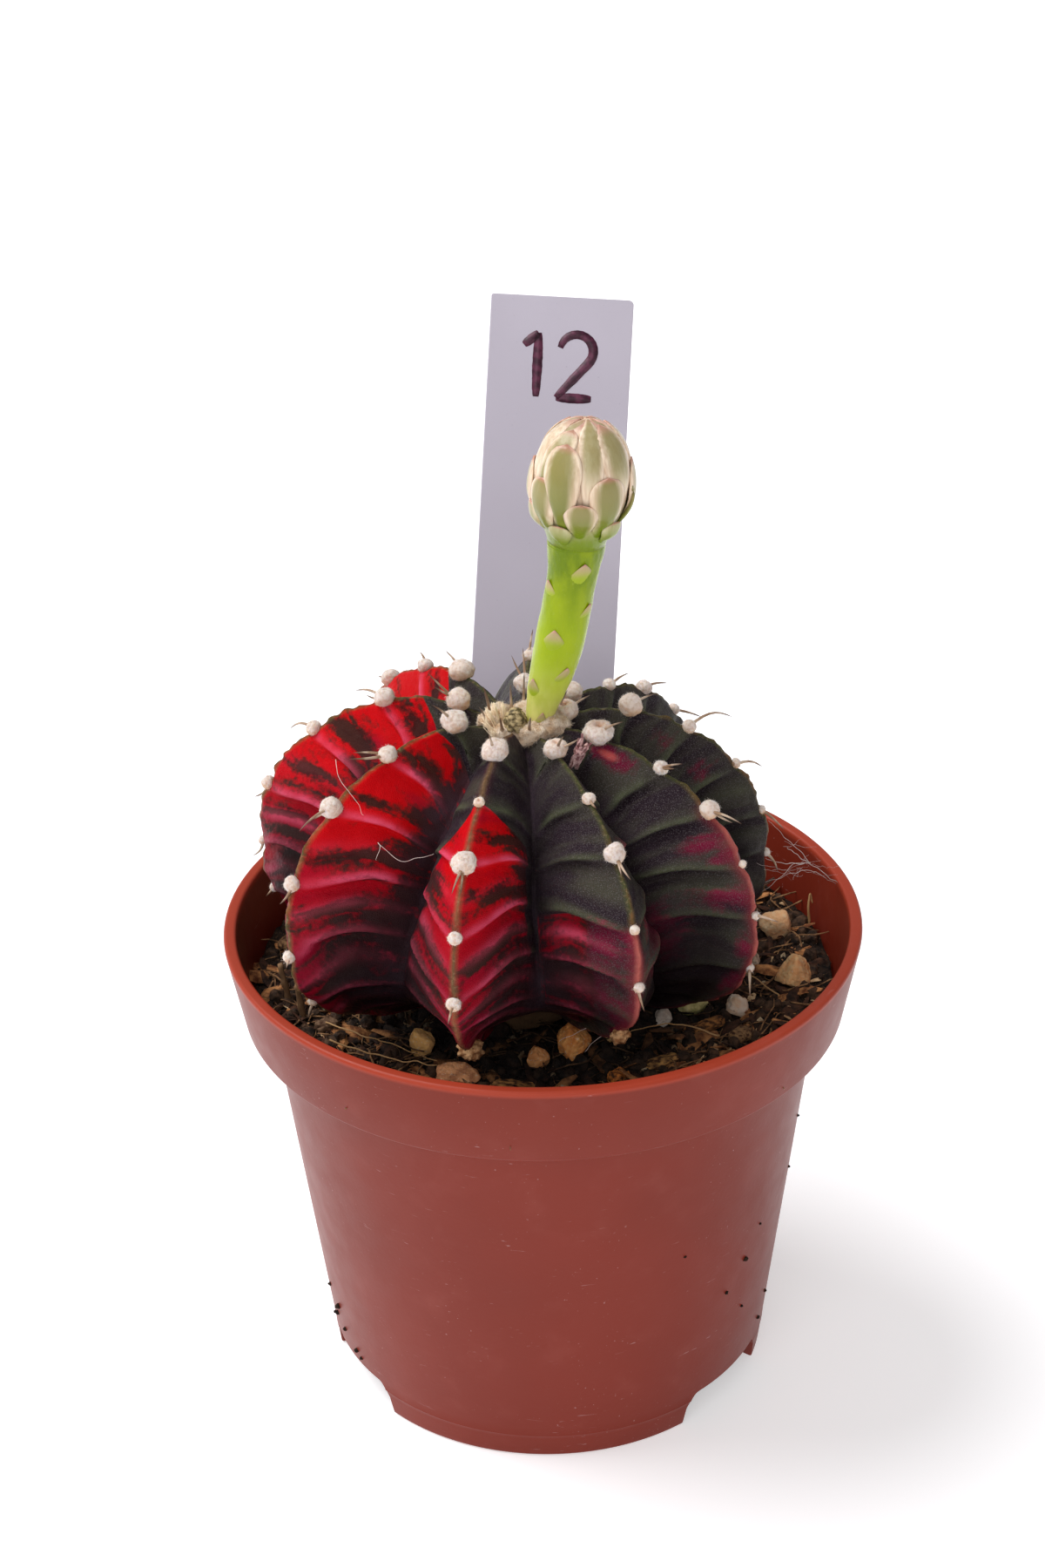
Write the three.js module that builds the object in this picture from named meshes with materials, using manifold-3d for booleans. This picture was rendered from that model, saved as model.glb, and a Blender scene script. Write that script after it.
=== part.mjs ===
// A potted moon cactus: a ribbed, variegated stem in bud, in a small plastic nursery pot
// with its soil, grit and plant label. Millimetres, +Z up. The origin is the middle of the
// pot's underside, +X is to the right and +Y is the back, where the label stands.

import * as THREE from 'three';
import { mergeVertices } from 'three/addons/utils/BufferGeometryUtils.js';
import Module from 'manifold-3d';

const wasm = await Module();
wasm.setup();

const GAP = 0.3; // clearance between pieces that touch

// ---- pot: outside radii and heights, one wall thickness all over
const POT_HEIGHT = 55.3;
const POT_WALL = 1.0;
const POT_FLOOR = 1.4;
const BASE_RADIUS = 24.8;
const NECK_RADIUS = 30.4; // top of the taper, just under the collar
const COLLAR_Z = 45.75;
const COLLAR_RADIUS = 33.2;
const RIM_RADIUS = 35;
const LIP_WIDTH = 1.4;
const EDGE_ROUND = 0.35;
const POT_SIDES = 54;
const NOTCH_AZIMUTHS = [-153, -37, 85];
const NOTCH_WIDTH = 14.2;
const NOTCH_HEIGHT = 4;
const NOTCH_SLANT = 1.3;
const NOTCH_DEPTH = 4.6; // how far it runs in from the foot, through wall and floor

// ---- soil
const SOIL_Z = 46;
const SOIL_BANK = 1.8; // the soil climbs this much towards the wall
const SOIL_RELIEF = 0.5;
const SOIL_SIDES = 54;
const SOIL_TOP_RADII = [30.2, 27, 22.5, 17, 11.5];

// ---- stem: the crest line of an average rib is a squashed circle
const STEM_X = -3;
const STEM_Y = -2;
const STEM_Z = 63.8; // height of the widest place
const STEM_RADIUS = 27.9;
const STEM_DROP = 15.5; // from the widest place down to the underside
const ROUNDNESS = 0.86; // power on the cosine: below 1 is fuller than a circle
const HEIGHT_POWER = 0.95;
const UNDERSIDE_POWER = 0.6; // the underside is flatter than the top
const CROWN_RISE = 18.8;
const CROWN_SHIFT = 1.0; // the growing point lies this much to the right of the axis
const CROWN_DENT = 3;
const CROWN_DENT_RADIUS = 7;
const FURROW_SHARE = 0.57; // furrow radius as a share of the crest's
const FURROW_Z = 57; // furrows are flatter than crests, about this height
const FURROW_HEIGHT_SHARE = 0.68;
const FLANK_SWELL = 0.055;
const CREST_SCALLOP = 0.5;
const RIDGE_RELIEF = 0.85;
const RIDGE_BOW = 4; // degrees by which a cross ridge arches between crest and furrow
const CREST_HALF = 0.55; // half the width of the corky crest
const FLANK_STEPS = [-0.66, -0.32, -0.001, 0.001, 0.32, 0.66, 1]; // 0 is the crest, 1 the furrow
const RIDGE_STEPS = [0, 0.13, 0.56]; // ridge, crease under it, swelling, as a share of the way down
const LAST_AREOLE = 6;
const ROOT_STATIONS = [[0.5, 20, 1], [-0.4, 33, 3.2], [0, 42, 5.8], [0, 50.5, 8]]; // x, height, radius
const ROOT_SIDES = 12;

// Each rib: azimuth, how far it reaches and rises, where its areoles sit (degrees above the
// widest place), and how wide the wool tuft of each is. The ribs go round anticlockwise.
const RIBS = [
  { azimuth: -102, reach: 1.05, rise: 19.4,
    areoles: [70, 55, 38, 18, -0.6, -12.6, -40], wool: [3.1, 1.9, 3.0, 1.7, 1.8, 1.6] },
  { azimuth: -64, reach: 1.0, rise: 16.8,
    areoles: [76, 58, 40, 16, -1.8, -26, -46], wool: [2.9, 1.6, 2.6, 1.2, 1.3, 1.3] },
  { azimuth: -32, reach: 1.04, rise: 17.5,
    areoles: [74, 57, 40, 21, 3, -11.3, -38], wool: [3.6, 1.9, 2.4, 1.0, 1.1, 1.1] },
  { azimuth: 2, reach: 0.97, rise: 18.4,
    areoles: [82, 68, 51, 32, 13, -0.6, -19], wool: [3.1, 3.0, 1.8, 1.3, 1.1, 1.1] },
  { azimuth: 42, reach: 0.97, rise: 17.2,
    areoles: [77, 64, 49, 30, 12, -1.8, -22], wool: [2.8, 1.7, 2.1, 1.6, 1.3, 1.2] },
  { azimuth: 84, reach: 1.0, rise: 18.6,
    areoles: [80, 64, 46, 27, 9, -5, -28], wool: [2.7, 1.8, 2.3, 1.5, 1.5, 1.2] },
  { azimuth: 125, reach: 1.03, rise: 18.6,
    areoles: [72, 57, 38, 18, 0, -15.6, -42], wool: [3.1, 2.0, 2.4, 1.7, 1.4, 1.2] },
  { azimuth: 168, reach: 1.0, rise: 19.4,
    areoles: [79, 63, 42, 18, -0.6, -15.6, -42], wool: [3.1, 2.6, 2.0, 1.8, 1.1, 1.3] },
  { azimuth: 214, reach: 1.0, rise: 19.4,
    areoles: [76, 59, 40, 16, -3.3, -24, -44], wool: [3.2, 2.3, 2.7, 2.0, 1.6, 1.2] },
];
const BELOW_AREOLES = [-62, -82]; // two more rows close the underside

// ---- spines
const SPINE_ROOT = 0.3; // radius
const SPINE_SUNK = 0.9;
const SPINE_LONG = 5.4;
const SPINE_SHORT = 2.1;
const SPINE_CURVE = 0.09; // sideways bow as a share of the length
const SIDE_SPREAD = 38;
const LOWEST_ELEVATION = -68;

// ---- flower: tube stations are centre and radius; the bud is a closed egg of tepals
const TUBE_STATIONS = [
  [-0.4, -3.4, 76.6, 1.15], [0, -3.5, 79.6, 1.3], [0.1, -3.5, 81.6, 1.5], [0.7, -3.5, 84.2, 1.95],
  [1.5, -3.5, 87, 2.35], [2.3, -3.5, 90.2, 2.55], [3, -3.5, 93.8, 2.55], [3.6, -3.5, 97.4, 2.6],
  [4, -3.5, 100.4, 2.85],
];
const TUBE_SIDES = 14;
const SOCKET_FLARE = 0.4; // the hole it stands in widens upwards, past the scales
const TUBE_SCALES = [ // place along the tube, azimuth
  [0.18, -20], [0.3, -130], [0.36, -45], [0.53, -150], [0.64, -35], [0.73, -120], [0.8, -60],
  [0.24, 120], [0.45, 60], [0.6, 150], [0.78, 95],
];
const BUD_FOOT = new THREE.Vector3(4.06, -3.5, 100.85);
const BUD_LEAN = 5; // degrees, to the right
const BUD_HEIGHT = 13.5;
const BUD_RADIUS = 4.75;
const BUD_WIDEST = 0.48; // share of the height
const BUD_SIDES = 42;
const BUD_SHARES = [0, 0.06, 0.14, 0.24, 0.34, 0.44, 0.55, 0.66, 0.76, 0.85, 0.92, 0.97];
// Tepals, inner ring first: count, first azimuth, low and high end as shares of the bud's height,
// half width and how far they stand out.
const TEPAL_RINGS = [
  { count: 6, first: -95, low: 0.2, high: 1.05, half: 1.9, lift: 0.35 },
  { count: 6, first: -125, low: 0.08, high: 0.9, half: 1.6, lift: 0.85 },
  { count: 7, first: -75, low: -0.12, high: 0.4, half: 1.35, lift: 1.2 },
];
const DRIED_FLOWER = { foot: [4.2, -8, 78.2], tip: [5.6, -9.6, 82.4], radius: 0.95 };

// ---- label: a flat strip, pointed below and pushed into the soil
const LABEL_WIDTH = 17;
const LABEL_LENGTH = 100;
const LABEL_THICKNESS = 0.6;
const LABEL_POINT = 14;
const LABEL_CORNER = 0.8;
const LABEL_FOOT = new THREE.Vector3(-3.3, 12.4, 17.4);
const LABEL_TOP = new THREE.Vector3(4.1, 57.9, 106.2);

// ---- grit and bark: x, y, then width, depth and height
const GRIT = [
  [3.2, -14.5, 3.3, 4.2, 3.3], [6.9, -11.2, 2.3, 2.0, 2.6], [-0.8, -16.0, 2.5, 2.4, 2.6],
  [-13.3, -13, 3.1, 2.8, 3.2], [-9.4, -19, 4.5, 3.0, 2.8], [-23.6, -5.6, 1.7, 1.7, 2.1],
  [12.9, -7.6, 2.3, 2.0, 1.9], [16.3, -5.2, 3.2, 2.8, 2.8], [21, -6.6, 2.9, 2.6, 2.6],
  [27.6, -2.2, 4.6, 4.4, 3.8], [26.4, 7.8, 4.0, 3.6, 3.6], [23.4, 2.6, 2.0, 2.0, 3.0],
  [-20.4, 19.2, 3.0, 2.6, 2.4], [16.6, 21.8, 2.8, 3.2, 2.6], [-15.2, 23.4, 2.6, 2.4, 2.2],
];
const STONE_SUNK = 0.2; // share of a stone's height
const BARK = [
  // x, y, length, width, height, turn in degrees, tilt in degrees
  [-3.0, -20.6, 6.0, 1.8, 1.0, 8, 14], [-28, 7.5, 5.4, 2.2, 1.2, 65, 10], [-23.6, -9.8, 2.8, 2.0, 1.5, 30, 8],
  [17, -9.8, 4.6, 1.6, 1.0, 24, -8], [21.2, -12.6, 3.1, 1.8, 1.2, 40, 10],
  [12.2, -16.5, 3.9, 1.6, 1.0, 16, -10], [-27, 12.6, 4.4, 2.4, 1.1, 118, 12],
  [7.6, -19.4, 2.4, 1.7, 1.2, 50, 6],
];
const TWIGS = [ // x, y, length, radius, lean to the right, lean to the back
  [-28, -4.6, 5.0, 0.45, -9, 2], [-26.3, -8, 4.4, 0.4, -6, 6],
];
const TWIG_SUNK = 1.1;

const COLOURS = { // colour and roughness
  pot: [0x8f4238, 0.45], soil: [0x33241b, 0.95], cactus_body: [0x8e1a2c, 0.5],
  flower_tube: [0x9cba2c, 0.35], flower_bud: [0xc9c39a, 0.45], dried_flower: [0x8b6a6a, 0.8],
  plant_label: [0xbfb7c6, 0.4], grit: [0xb99a72, 0.8], bark: [0x6d4a30, 0.9], twig: [0x6a5138, 0.9],
};

const rad = THREE.MathUtils.degToRad;
const clamp01 = (value) => Math.min(1, Math.max(0, value));
const lerp = THREE.MathUtils.lerp;
const smooth = (low, high, value) => {
  const x = clamp01((value - low) / (high - low));
  return x * x * (3 - 2 * x);
};

// The same draws every time, from a seed (mulberry32).
function draws(seed) {
  let state = seed;
  return (low = 0, high = 1) => {
    state = (state + 0x6d2b79f5) | 0;
    let t = Math.imul(state ^ (state >>> 15), 1 | state);
    t = (t + Math.imul(t ^ (t >>> 7), 61 | t)) ^ t;
    return low + (high - low) * (((t ^ (t >>> 14)) >>> 0) / 4294967296);
  };
}

// ---- between three.js geometry and solids that can be joined and cut

function toSolid(geometry) {
  const plain = geometry.clone();
  plain.deleteAttribute('normal');
  plain.deleteAttribute('uv');
  const merged = mergeVertices(plain, 1e-4);
  const source = merged.index.array;
  const corners = [];
  for (let i = 0; i < source.length; i += 3) {
    const [a, b, c] = [source[i], source[i + 1], source[i + 2]];
    if (a !== b && b !== c && c !== a) corners.push(a, b, c);
  }
  return new wasm.Manifold(new wasm.Mesh({
    numProp: 3,
    vertProperties: Float32Array.from(merged.attributes.position.array),
    triVerts: Uint32Array.from(corners),
  }));
}

function toGeometry(solid) {
  const mesh = solid.getMesh();
  const geometry = new THREE.BufferGeometry();
  geometry.setAttribute('position', new THREE.BufferAttribute(Float32Array.from(mesh.vertProperties), 3));
  geometry.setIndex(Array.from(mesh.triVerts));
  geometry.computeVertexNormals();
  return geometry;
}

const joined = (solids) => solids.reduce((sum, solid) => sum.add(solid));

// The outer skin of the one body that a join leaves: no loose scrap, no hollow sealed inside.
function wholePiece(solid) {
  return solid.decompose().reduce((largest, part) => (part.volume() > largest.volume() ? part : largest));
}

// A closed skin over rings of points, bottom to top, each ring anticlockwise from above.
function skin(rings, bottom, top) {
  const sides = rings[0].length;
  const points = rings.flat().concat([bottom, top]);
  const foot = points.length - 2;
  const head = points.length - 1;
  const index = [];
  for (let j = 0; j < sides; j += 1) {
    const k = (j + 1) % sides;
    const last = (rings.length - 1) * sides;
    index.push(foot, k, j, head, last + j, last + k);
    for (let i = 0; i < rings.length - 1; i += 1) {
      const low = i * sides;
      const high = low + sides;
      index.push(low + j, low + k, high + k, low + j, high + k, high + j);
    }
  }
  const geometry = new THREE.BufferGeometry();
  geometry.setAttribute('position', new THREE.Float32BufferAttribute(points.flatMap((p) => p.toArray()), 3));
  geometry.setIndex(index);
  return geometry;
}

// A round ring of points about a centre, in the plane across a direction.
function ringAcross(centre, direction, radius, sides) {
  const turn = new THREE.Quaternion().setFromUnitVectors(new THREE.Vector3(0, 0, 1), direction);
  return Array.from({ length: sides }, (_, j) => {
    const angle = (2 * Math.PI * j) / sides;
    const point = new THREE.Vector3(Math.cos(angle) * radius, Math.sin(angle) * radius, 0);
    return point.applyQuaternion(turn).add(centre);
  });
}

// A solid along a line of centres with a radius at each; it ends flat, or in a point at radius 0.
function limb(centres, radii, sides) {
  const rings = [];
  centres.forEach((centre, i) => {
    const from = centres[Math.max(i - 1, 0)];
    const to = centres[Math.min(i + 1, centres.length - 1)];
    const direction = to.clone().sub(from).normalize();
    if (radii[i] > 0) rings.push(ringAcross(centre, direction, radii[i], sides));
  });
  return toSolid(skin(rings, centres[0], centres[centres.length - 1]));
}

const BALLS = {
  8: new THREE.OctahedronGeometry(1, 0), 20: new THREE.IcosahedronGeometry(1, 0),
  32: new THREE.OctahedronGeometry(1, 1),
};

// A lump: a ball of 8, 20 or 32 faces, uneven by seeded draws, of a given half size along three directions.
function lump(centre, basis, halves, faces, unevenness, random) {
  const ball = BALLS[faces].clone();
  ball.deleteAttribute('normal');
  ball.deleteAttribute('uv');
  const geometry = mergeVertices(ball, 1e-4);
  const place = geometry.attributes.position;
  for (let i = 0; i < place.count; i += 1) {
    const out = new THREE.Vector3().fromBufferAttribute(place, i);
    out.multiplyScalar(1 + random(-unevenness, unevenness));
    const point = centre.clone();
    basis.forEach((way, axis) => point.addScaledVector(way, out.getComponent(axis) * halves[axis]));
    place.setXYZ(i, point.x, point.y, point.z);
  }
  return toSolid(geometry);
}

// ---- pot

function potSolid() {
  const inner = RIM_RADIUS - LIP_WIDTH;
  const ledge = COLLAR_Z + POT_WALL;
  const profile = [
    [0, 0], [BASE_RADIUS - EDGE_ROUND, 0], [BASE_RADIUS, EDGE_ROUND], [NECK_RADIUS, COLLAR_Z],
    [COLLAR_RADIUS - EDGE_ROUND, COLLAR_Z], [COLLAR_RADIUS, COLLAR_Z + EDGE_ROUND],
    [RIM_RADIUS, POT_HEIGHT - EDGE_ROUND], [RIM_RADIUS - EDGE_ROUND, POT_HEIGHT],
    [inner + EDGE_ROUND, POT_HEIGHT], [inner, POT_HEIGHT - EDGE_ROUND],
    [COLLAR_RADIUS - POT_WALL, ledge], [NECK_RADIUS - POT_WALL, ledge - 0.4],
    [BASE_RADIUS - POT_WALL + 0.1, POT_FLOOR], [0, POT_FLOOR],
  ].map(([r, z]) => new THREE.Vector2(r, z));
  const turned = new THREE.LatheGeometry(profile, POT_SIDES).rotateX(Math.PI / 2);
  return toSolid(turned).subtract(joined(NOTCH_AZIMUTHS.map(notchCutter)));
}

// A notch is a low arch with slanted sides, cut through the foot of the wall and the floor's edge.
function notchCutter(azimuth) {
  const half = NOTCH_WIDTH / 2;
  const shape = new THREE.Shape();
  shape.moveTo(-half - 0.3, -1);
  shape.lineTo(half + 0.3, -1);
  shape.lineTo(half - 0.2, NOTCH_HEIGHT * 0.6);
  shape.lineTo(half - NOTCH_SLANT, NOTCH_HEIGHT);
  shape.lineTo(NOTCH_SLANT - half, NOTCH_HEIGHT);
  shape.lineTo(0.2 - half, NOTCH_HEIGHT * 0.6);
  const reach = NOTCH_DEPTH + 4;
  const cutter = new THREE.ExtrudeGeometry(shape, { depth: reach, bevelEnabled: false });
  cutter.rotateX(Math.PI / 2).rotateZ(Math.PI / 2).translate(BASE_RADIUS - NOTCH_DEPTH, 0, 0);
  return toSolid(cutter.rotateZ(rad(azimuth)));
}

// ---- stem

// The way down a rib, in steps from the crown through the areoles, as an angle in radians.
function angleAt(rib, step) {
  const stops = [90, ...rib.areoles, ...BELOW_AREOLES];
  const place = Math.min(step + 1, stops.length - 1);
  const above = Math.min(Math.floor(place), stops.length - 2);
  return rad(lerp(stops[above], stops[above + 1], place - above));
}

function crestAt(rise, reach, angle) {
  const up = Math.sin(angle);
  const r = STEM_RADIUS * reach * Math.max(Math.cos(angle), 0) ** ROUNDNESS;
  if (up < 0) return { r, z: STEM_Z - STEM_DROP * (-up) ** UNDERSIDE_POWER };
  const top = lerp(rise, CROWN_RISE, smooth(rad(68), rad(90), angle));
  const dent = CROWN_DENT * Math.exp(-((r / CROWN_DENT_RADIUS) ** 2));
  return { r, z: STEM_Z + top * up ** HEIGHT_POWER - dent };
}

function furrowAt(crest, angle) {
  const degrees = THREE.MathUtils.radToDeg(angle);
  const below = clamp01((-degrees - 40) / 50) ** 2;
  const narrow = Math.max(clamp01((degrees - 25) / 65) ** 1.3, below);
  const low = Math.max(clamp01((degrees - 50) / 40) ** 1.5, below);
  return {
    r: crest.r * lerp(FURROW_SHARE, 1, narrow),
    z: lerp(FURROW_Z, crest.z, lerp(FURROW_HEIGHT_SHARE, 1, low)),
  };
}

// Relief of the cross ridges down a rib: a ridge at each areole, a crease right under it.
function ridgeRelief(step) {
  if (step < 0 || step > LAST_AREOLE + 0.6) return 0;
  const way = step - Math.floor(step);
  const edge = RIDGE_STEPS[1];
  return way < edge ? lerp(1, -0.62, way / edge) : -0.7 + 1.7 * way ** 1.6;
}

// A point of the stem: which rib, how far down it, and how far across, from -1 to 1.
function stemPoint(ribNumber, step, across) {
  const rib = RIBS[ribNumber];
  const side = across < 0 ? -1 : 1;
  const count = RIBS.length;
  const next = RIBS[(ribNumber + side + count) % count];
  const gap = ((next.azimuth - rib.azimuth) * side + 360) % 360;
  const half = rad(gap) / 2;
  const share = Math.abs(across);
  const mix = share * share * 0.5;
  const bow = rad(RIDGE_BOW) * Math.sin(Math.PI * share) * (1 - 0.75 * smooth(0, 4, 4 - step));
  const angle = lerp(angleAt(rib, step), angleAt(next, step), mix) + bow * (step > 0 && step < 7 ? 1 : 0);
  const crest = crestAt(lerp(rib.rise, next.rise, mix), lerp(rib.reach, next.reach, mix), angle);
  const furrow = furrowAt(crest, angle);
  const upper = clamp01(Math.cos(angle) * 1.4);
  const swell = crest.r * FLANK_SWELL * Math.sin(Math.PI * share) * upper;
  const scallop = CREST_SCALLOP * Math.sin(Math.PI * (step - Math.floor(step))) * (1 - share) ** 2 * upper;
  const relief = RIDGE_RELIEF * ridgeRelief(step) * Math.sin(Math.PI * share) ** 0.7 * upper;
  // in the rib's own frame: out along its azimuth, and sideways; the flank is straight but for its swelling
  const crestEdge = new THREE.Vector2(crest.r, share > 0 ? Math.min(CREST_HALF, crest.r * 0.06) : 0);
  const furrowLine = new THREE.Vector2(Math.cos(half), Math.sin(half)).multiplyScalar(furrow.r);
  const run = furrowLine.clone().sub(crestEdge);
  const flankOut = new THREE.Vector2(run.y, -run.x).normalize();
  const local = crestEdge.clone().addScaledVector(run, share).addScaledVector(flankOut, swell + relief);
  local.x += scallop * Math.cos(angle);
  local.y *= side;
  local.rotateAround(new THREE.Vector2(0, 0), rad(rib.azimuth));
  const shift = CROWN_SHIFT * Math.max(Math.sin(angle), 0) ** 3;
  const z = lerp(crest.z, furrow.z, share) + scallop * Math.sin(angle);
  return new THREE.Vector3(STEM_X + shift + local.x, STEM_Y + local.y, z);
}

function stemRings(steps, flankSteps) {
  return steps.map((step) => RIBS.flatMap(
    (_, ribNumber) => flankSteps.map((across) => stemPoint(ribNumber, step, across)),
  ));
}

// The root: a neck under the stem that narrows to a taproot deep in the soil.
function rootLimb(grown) {
  const centres = ROOT_STATIONS.map(([x, z]) => new THREE.Vector3(STEM_X + x, STEM_Y, z));
  centres[0].z -= grown;
  return limb(centres, ROOT_STATIONS.map(([, , radius]) => radius + grown), ROOT_SIDES);
}

const stemFoot = new THREE.Vector3(STEM_X, STEM_Y, STEM_Z - STEM_DROP);
const stemDent = new THREE.Vector3(STEM_X + CROWN_SHIFT, STEM_Y, STEM_Z + CROWN_RISE - CROWN_DENT);

function stemSolid() {
  const steps = [-0.5];
  for (let areole = 0; areole <= LAST_AREOLE; areole += 1) {
    steps.push(...RIDGE_STEPS.map((way) => areole + way));
  }
  steps.push(7, 7.5, 8);
  steps.reverse();
  return toSolid(skin(stemRings(steps, FLANK_STEPS), stemFoot, stemDent)).add(rootLimb(0));
}

// Where an areole sits: its point on the crest, the way out of the stem, and across the rib.
function areolePlace(ribNumber, areole) {
  const point = stemPoint(ribNumber, areole, 0);
  const along = stemPoint(ribNumber, areole - 0.08, 0).sub(stemPoint(ribNumber, areole + 0.08, 0));
  along.normalize();
  const azimuth = rad(RIBS[ribNumber].azimuth);
  const acrossRib = new THREE.Vector3(-Math.sin(azimuth), Math.cos(azimuth), 0);
  const out = acrossRib.clone().cross(along).normalize();
  return { point, along, acrossRib, out };
}

function woolTufts(random) {
  const tufts = [];
  RIBS.forEach((rib, ribNumber) => rib.wool.forEach((width, areole) => {
    const { point, along, acrossRib, out } = areolePlace(ribNumber, areole);
    const centre = point.addScaledVector(out, width * 0.22);
    const halves = [width * 0.5, width * 0.44, width * 0.42];
    const fewFaces = width > 1.5 ? 20 : 8;
    tufts.push(lump(centre, [acrossRib, along, out], halves, width > 2.5 ? 32 : fewFaces, 0.08, random));
  }));
  return tufts;
}

// One spine, out of a point, at an azimuth and an elevation in degrees.
function spine(root, azimuth, elevation, length, random) {
  const level = Math.cos(rad(elevation));
  const way = new THREE.Vector3(
    Math.cos(rad(azimuth)) * level, Math.sin(rad(azimuth)) * level, Math.sin(rad(elevation)));
  const bow = length * SPINE_CURVE * random(-1, 1);
  const start = root.clone().addScaledVector(way, -SPINE_SUNK);
  const middle = root.clone().addScaledVector(way, length * 0.5).add(new THREE.Vector3(0, 0, bow));
  const tip = root.clone().addScaledVector(way, length);
  return limb([start, middle, tip], [SPINE_ROOT, SPINE_ROOT * 0.72, 0], 3);
}

// High spines point out and up, low ones out and down; they are shorter further down.
function spineElevation(areoleAngle) {
  return Math.max(-16 + (areoleAngle > 40 ? 1.6 : 1.1) * (areoleAngle - 40), LOWEST_ELEVATION);
}

function spines(random) {
  const all = [];
  RIBS.forEach((rib, ribNumber) => rib.wool.forEach((width, areole) => {
    const angle = rib.areoles[areole];
    const length = lerp(SPINE_SHORT, SPINE_LONG, smooth(-20, 50, angle)) * random(0.85, 1.1);
    const { point } = areolePlace(ribNumber, areole);
    const lean = random(-14, 14);
    all.push(spine(point, rib.azimuth + lean, spineElevation(angle), length, random));
    if (width > 2.5) {
      const side = (random() < 0.5 ? -1 : 1) * random(0.7, 1) * SIDE_SPREAD;
      all.push(spine(point, rib.azimuth + side, spineElevation(angle) - 6, length * 0.7, random));
    }
  }));
  return all;
}

// The growing point: a matted cushion of wool, young tufts round it and a few upright spines.
function crown(random) {
  const upright = [new THREE.Vector3(1, 0, 0), new THREE.Vector3(0, 1, 0), new THREE.Vector3(0, 0, 1)];
  const centre = new THREE.Vector3(STEM_X + CROWN_SHIFT, STEM_Y - 0.8, STEM_Z + CROWN_RISE - CROWN_DENT);
  const solids = [lump(centre, upright, [4.5, 3.4, 1.6], 32, 0.08, random)];
  const ring = 6;
  for (let i = 0; i < ring; i += 1) {
    const azimuth = (2 * Math.PI * i) / ring + 0.4;
    const out = new THREE.Vector3(3.4 * Math.cos(azimuth), 2.5 * Math.sin(azimuth), 0.9);
    const place = centre.clone().add(out);
    solids.push(lump(place, upright, [1.25, 1.1, 1.0], 20, 0.12, random));
    const spineRoot = place.clone().lerp(centre, 0.35);
    solids.push(spine(spineRoot, (azimuth * 180) / Math.PI, 72, random(3.2, 4.4), random));
  }
  [[-3.3, -1.2, 4.4], [-2.5, 0.6, 4.8], [-3.9, 0.9, 3.6]].forEach(([x, y, height]) => {
    const foot = centre.clone().add(new THREE.Vector3(x, y, -0.6));
    const tip = foot.clone().add(new THREE.Vector3(-0.8, 0.3, height));
    solids.push(limb([foot, foot.clone().lerp(tip, 0.55), tip], [0.8, 0.75, 0.3], 5));
  });
  const bud = centre.clone().add(new THREE.Vector3(-0.6, 0.9, 1.3));
  solids.push(lump(bud, upright, [1.3, 1.3, 1.5], 32, 0.1, random));
  return solids;
}

function cactusBody() {
  const random = draws(41);
  const grown = [stemSolid(), ...woolTufts(random), ...spines(random), ...crown(random)];
  return wholePiece(joined(grown).subtract(flowerSocket()).subtract(driedFlowerSolid(GAP)));
}

// ---- flower

const tubeCentres = TUBE_STATIONS.map(([x, y, z]) => new THREE.Vector3(x, y, z));
const tubeRadii = TUBE_STATIONS.map((station) => station[3]);

// The plain hole that the tube stands in, through the crown wool.
function flowerSocket() {
  const centres = tubeCentres.slice(0, 4);
  centres[0] = centres[0].clone().add(new THREE.Vector3(0, 0, -GAP));
  const radii = tubeRadii.slice(0, 4).map((radius, i) => radius + GAP + 0.06 + (i > 1 ? SOCKET_FLARE : 0));
  return limb(centres, radii, TUBE_SIDES);
}

// A scale of the tube: a small pointed shield that lies on it and points up.
function tubeScale([along, azimuth]) {
  const place = 1 + along * (tubeCentres.length - 2);
  const below = Math.floor(place);
  const centre = tubeCentres[below].clone().lerp(tubeCentres[below + 1], place - below);
  const radius = lerp(tubeRadii[below], tubeRadii[below + 1], place - below);
  const up = tubeCentres[below + 1].clone().sub(tubeCentres[below]).normalize();
  const out = new THREE.Vector3(Math.cos(rad(azimuth)), Math.sin(rad(azimuth)), 0);
  out.addScaledVector(up, -out.dot(up)).normalize();
  const side = up.clone().cross(out);
  const at = (across, high, stand) => centre.clone().addScaledVector(side, across).addScaledVector(up, high)
    .addScaledVector(out, radius + stand);
  const outline = [[-0.75, -0.9], [0.75, -0.9], [1.0, 0], [0.55, 0.95], [0, 1.5], [-0.55, 0.95], [-1.0, 0]];
  const inside = outline.map(([x, y]) => at(x, y, -0.9));
  const outside = outline.map(([x, y]) => at(x * 0.9, y, 0.05));
  return toSolid(skin([inside, outside], at(0, 0.1, -0.9), at(0, 0.5, 0.42)));
}

function flowerTube() {
  return joined([limb(tubeCentres, tubeRadii, TUBE_SIDES), ...TUBE_SCALES.map(tubeScale)]);
}

// Radius of the bud's core at a share of its height: an egg with a narrow foot.
function budRadius(share) {
  const foot = tubeRadii[tubeRadii.length - 1];
  if (share < BUD_WIDEST) return lerp(foot, BUD_RADIUS, Math.sin((share / BUD_WIDEST) * Math.PI * 0.5));
  const over = (share - BUD_WIDEST) / (1 - BUD_WIDEST);
  return BUD_RADIUS * Math.sqrt(Math.max(1 - over ** 2.4, 0));
}

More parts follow.
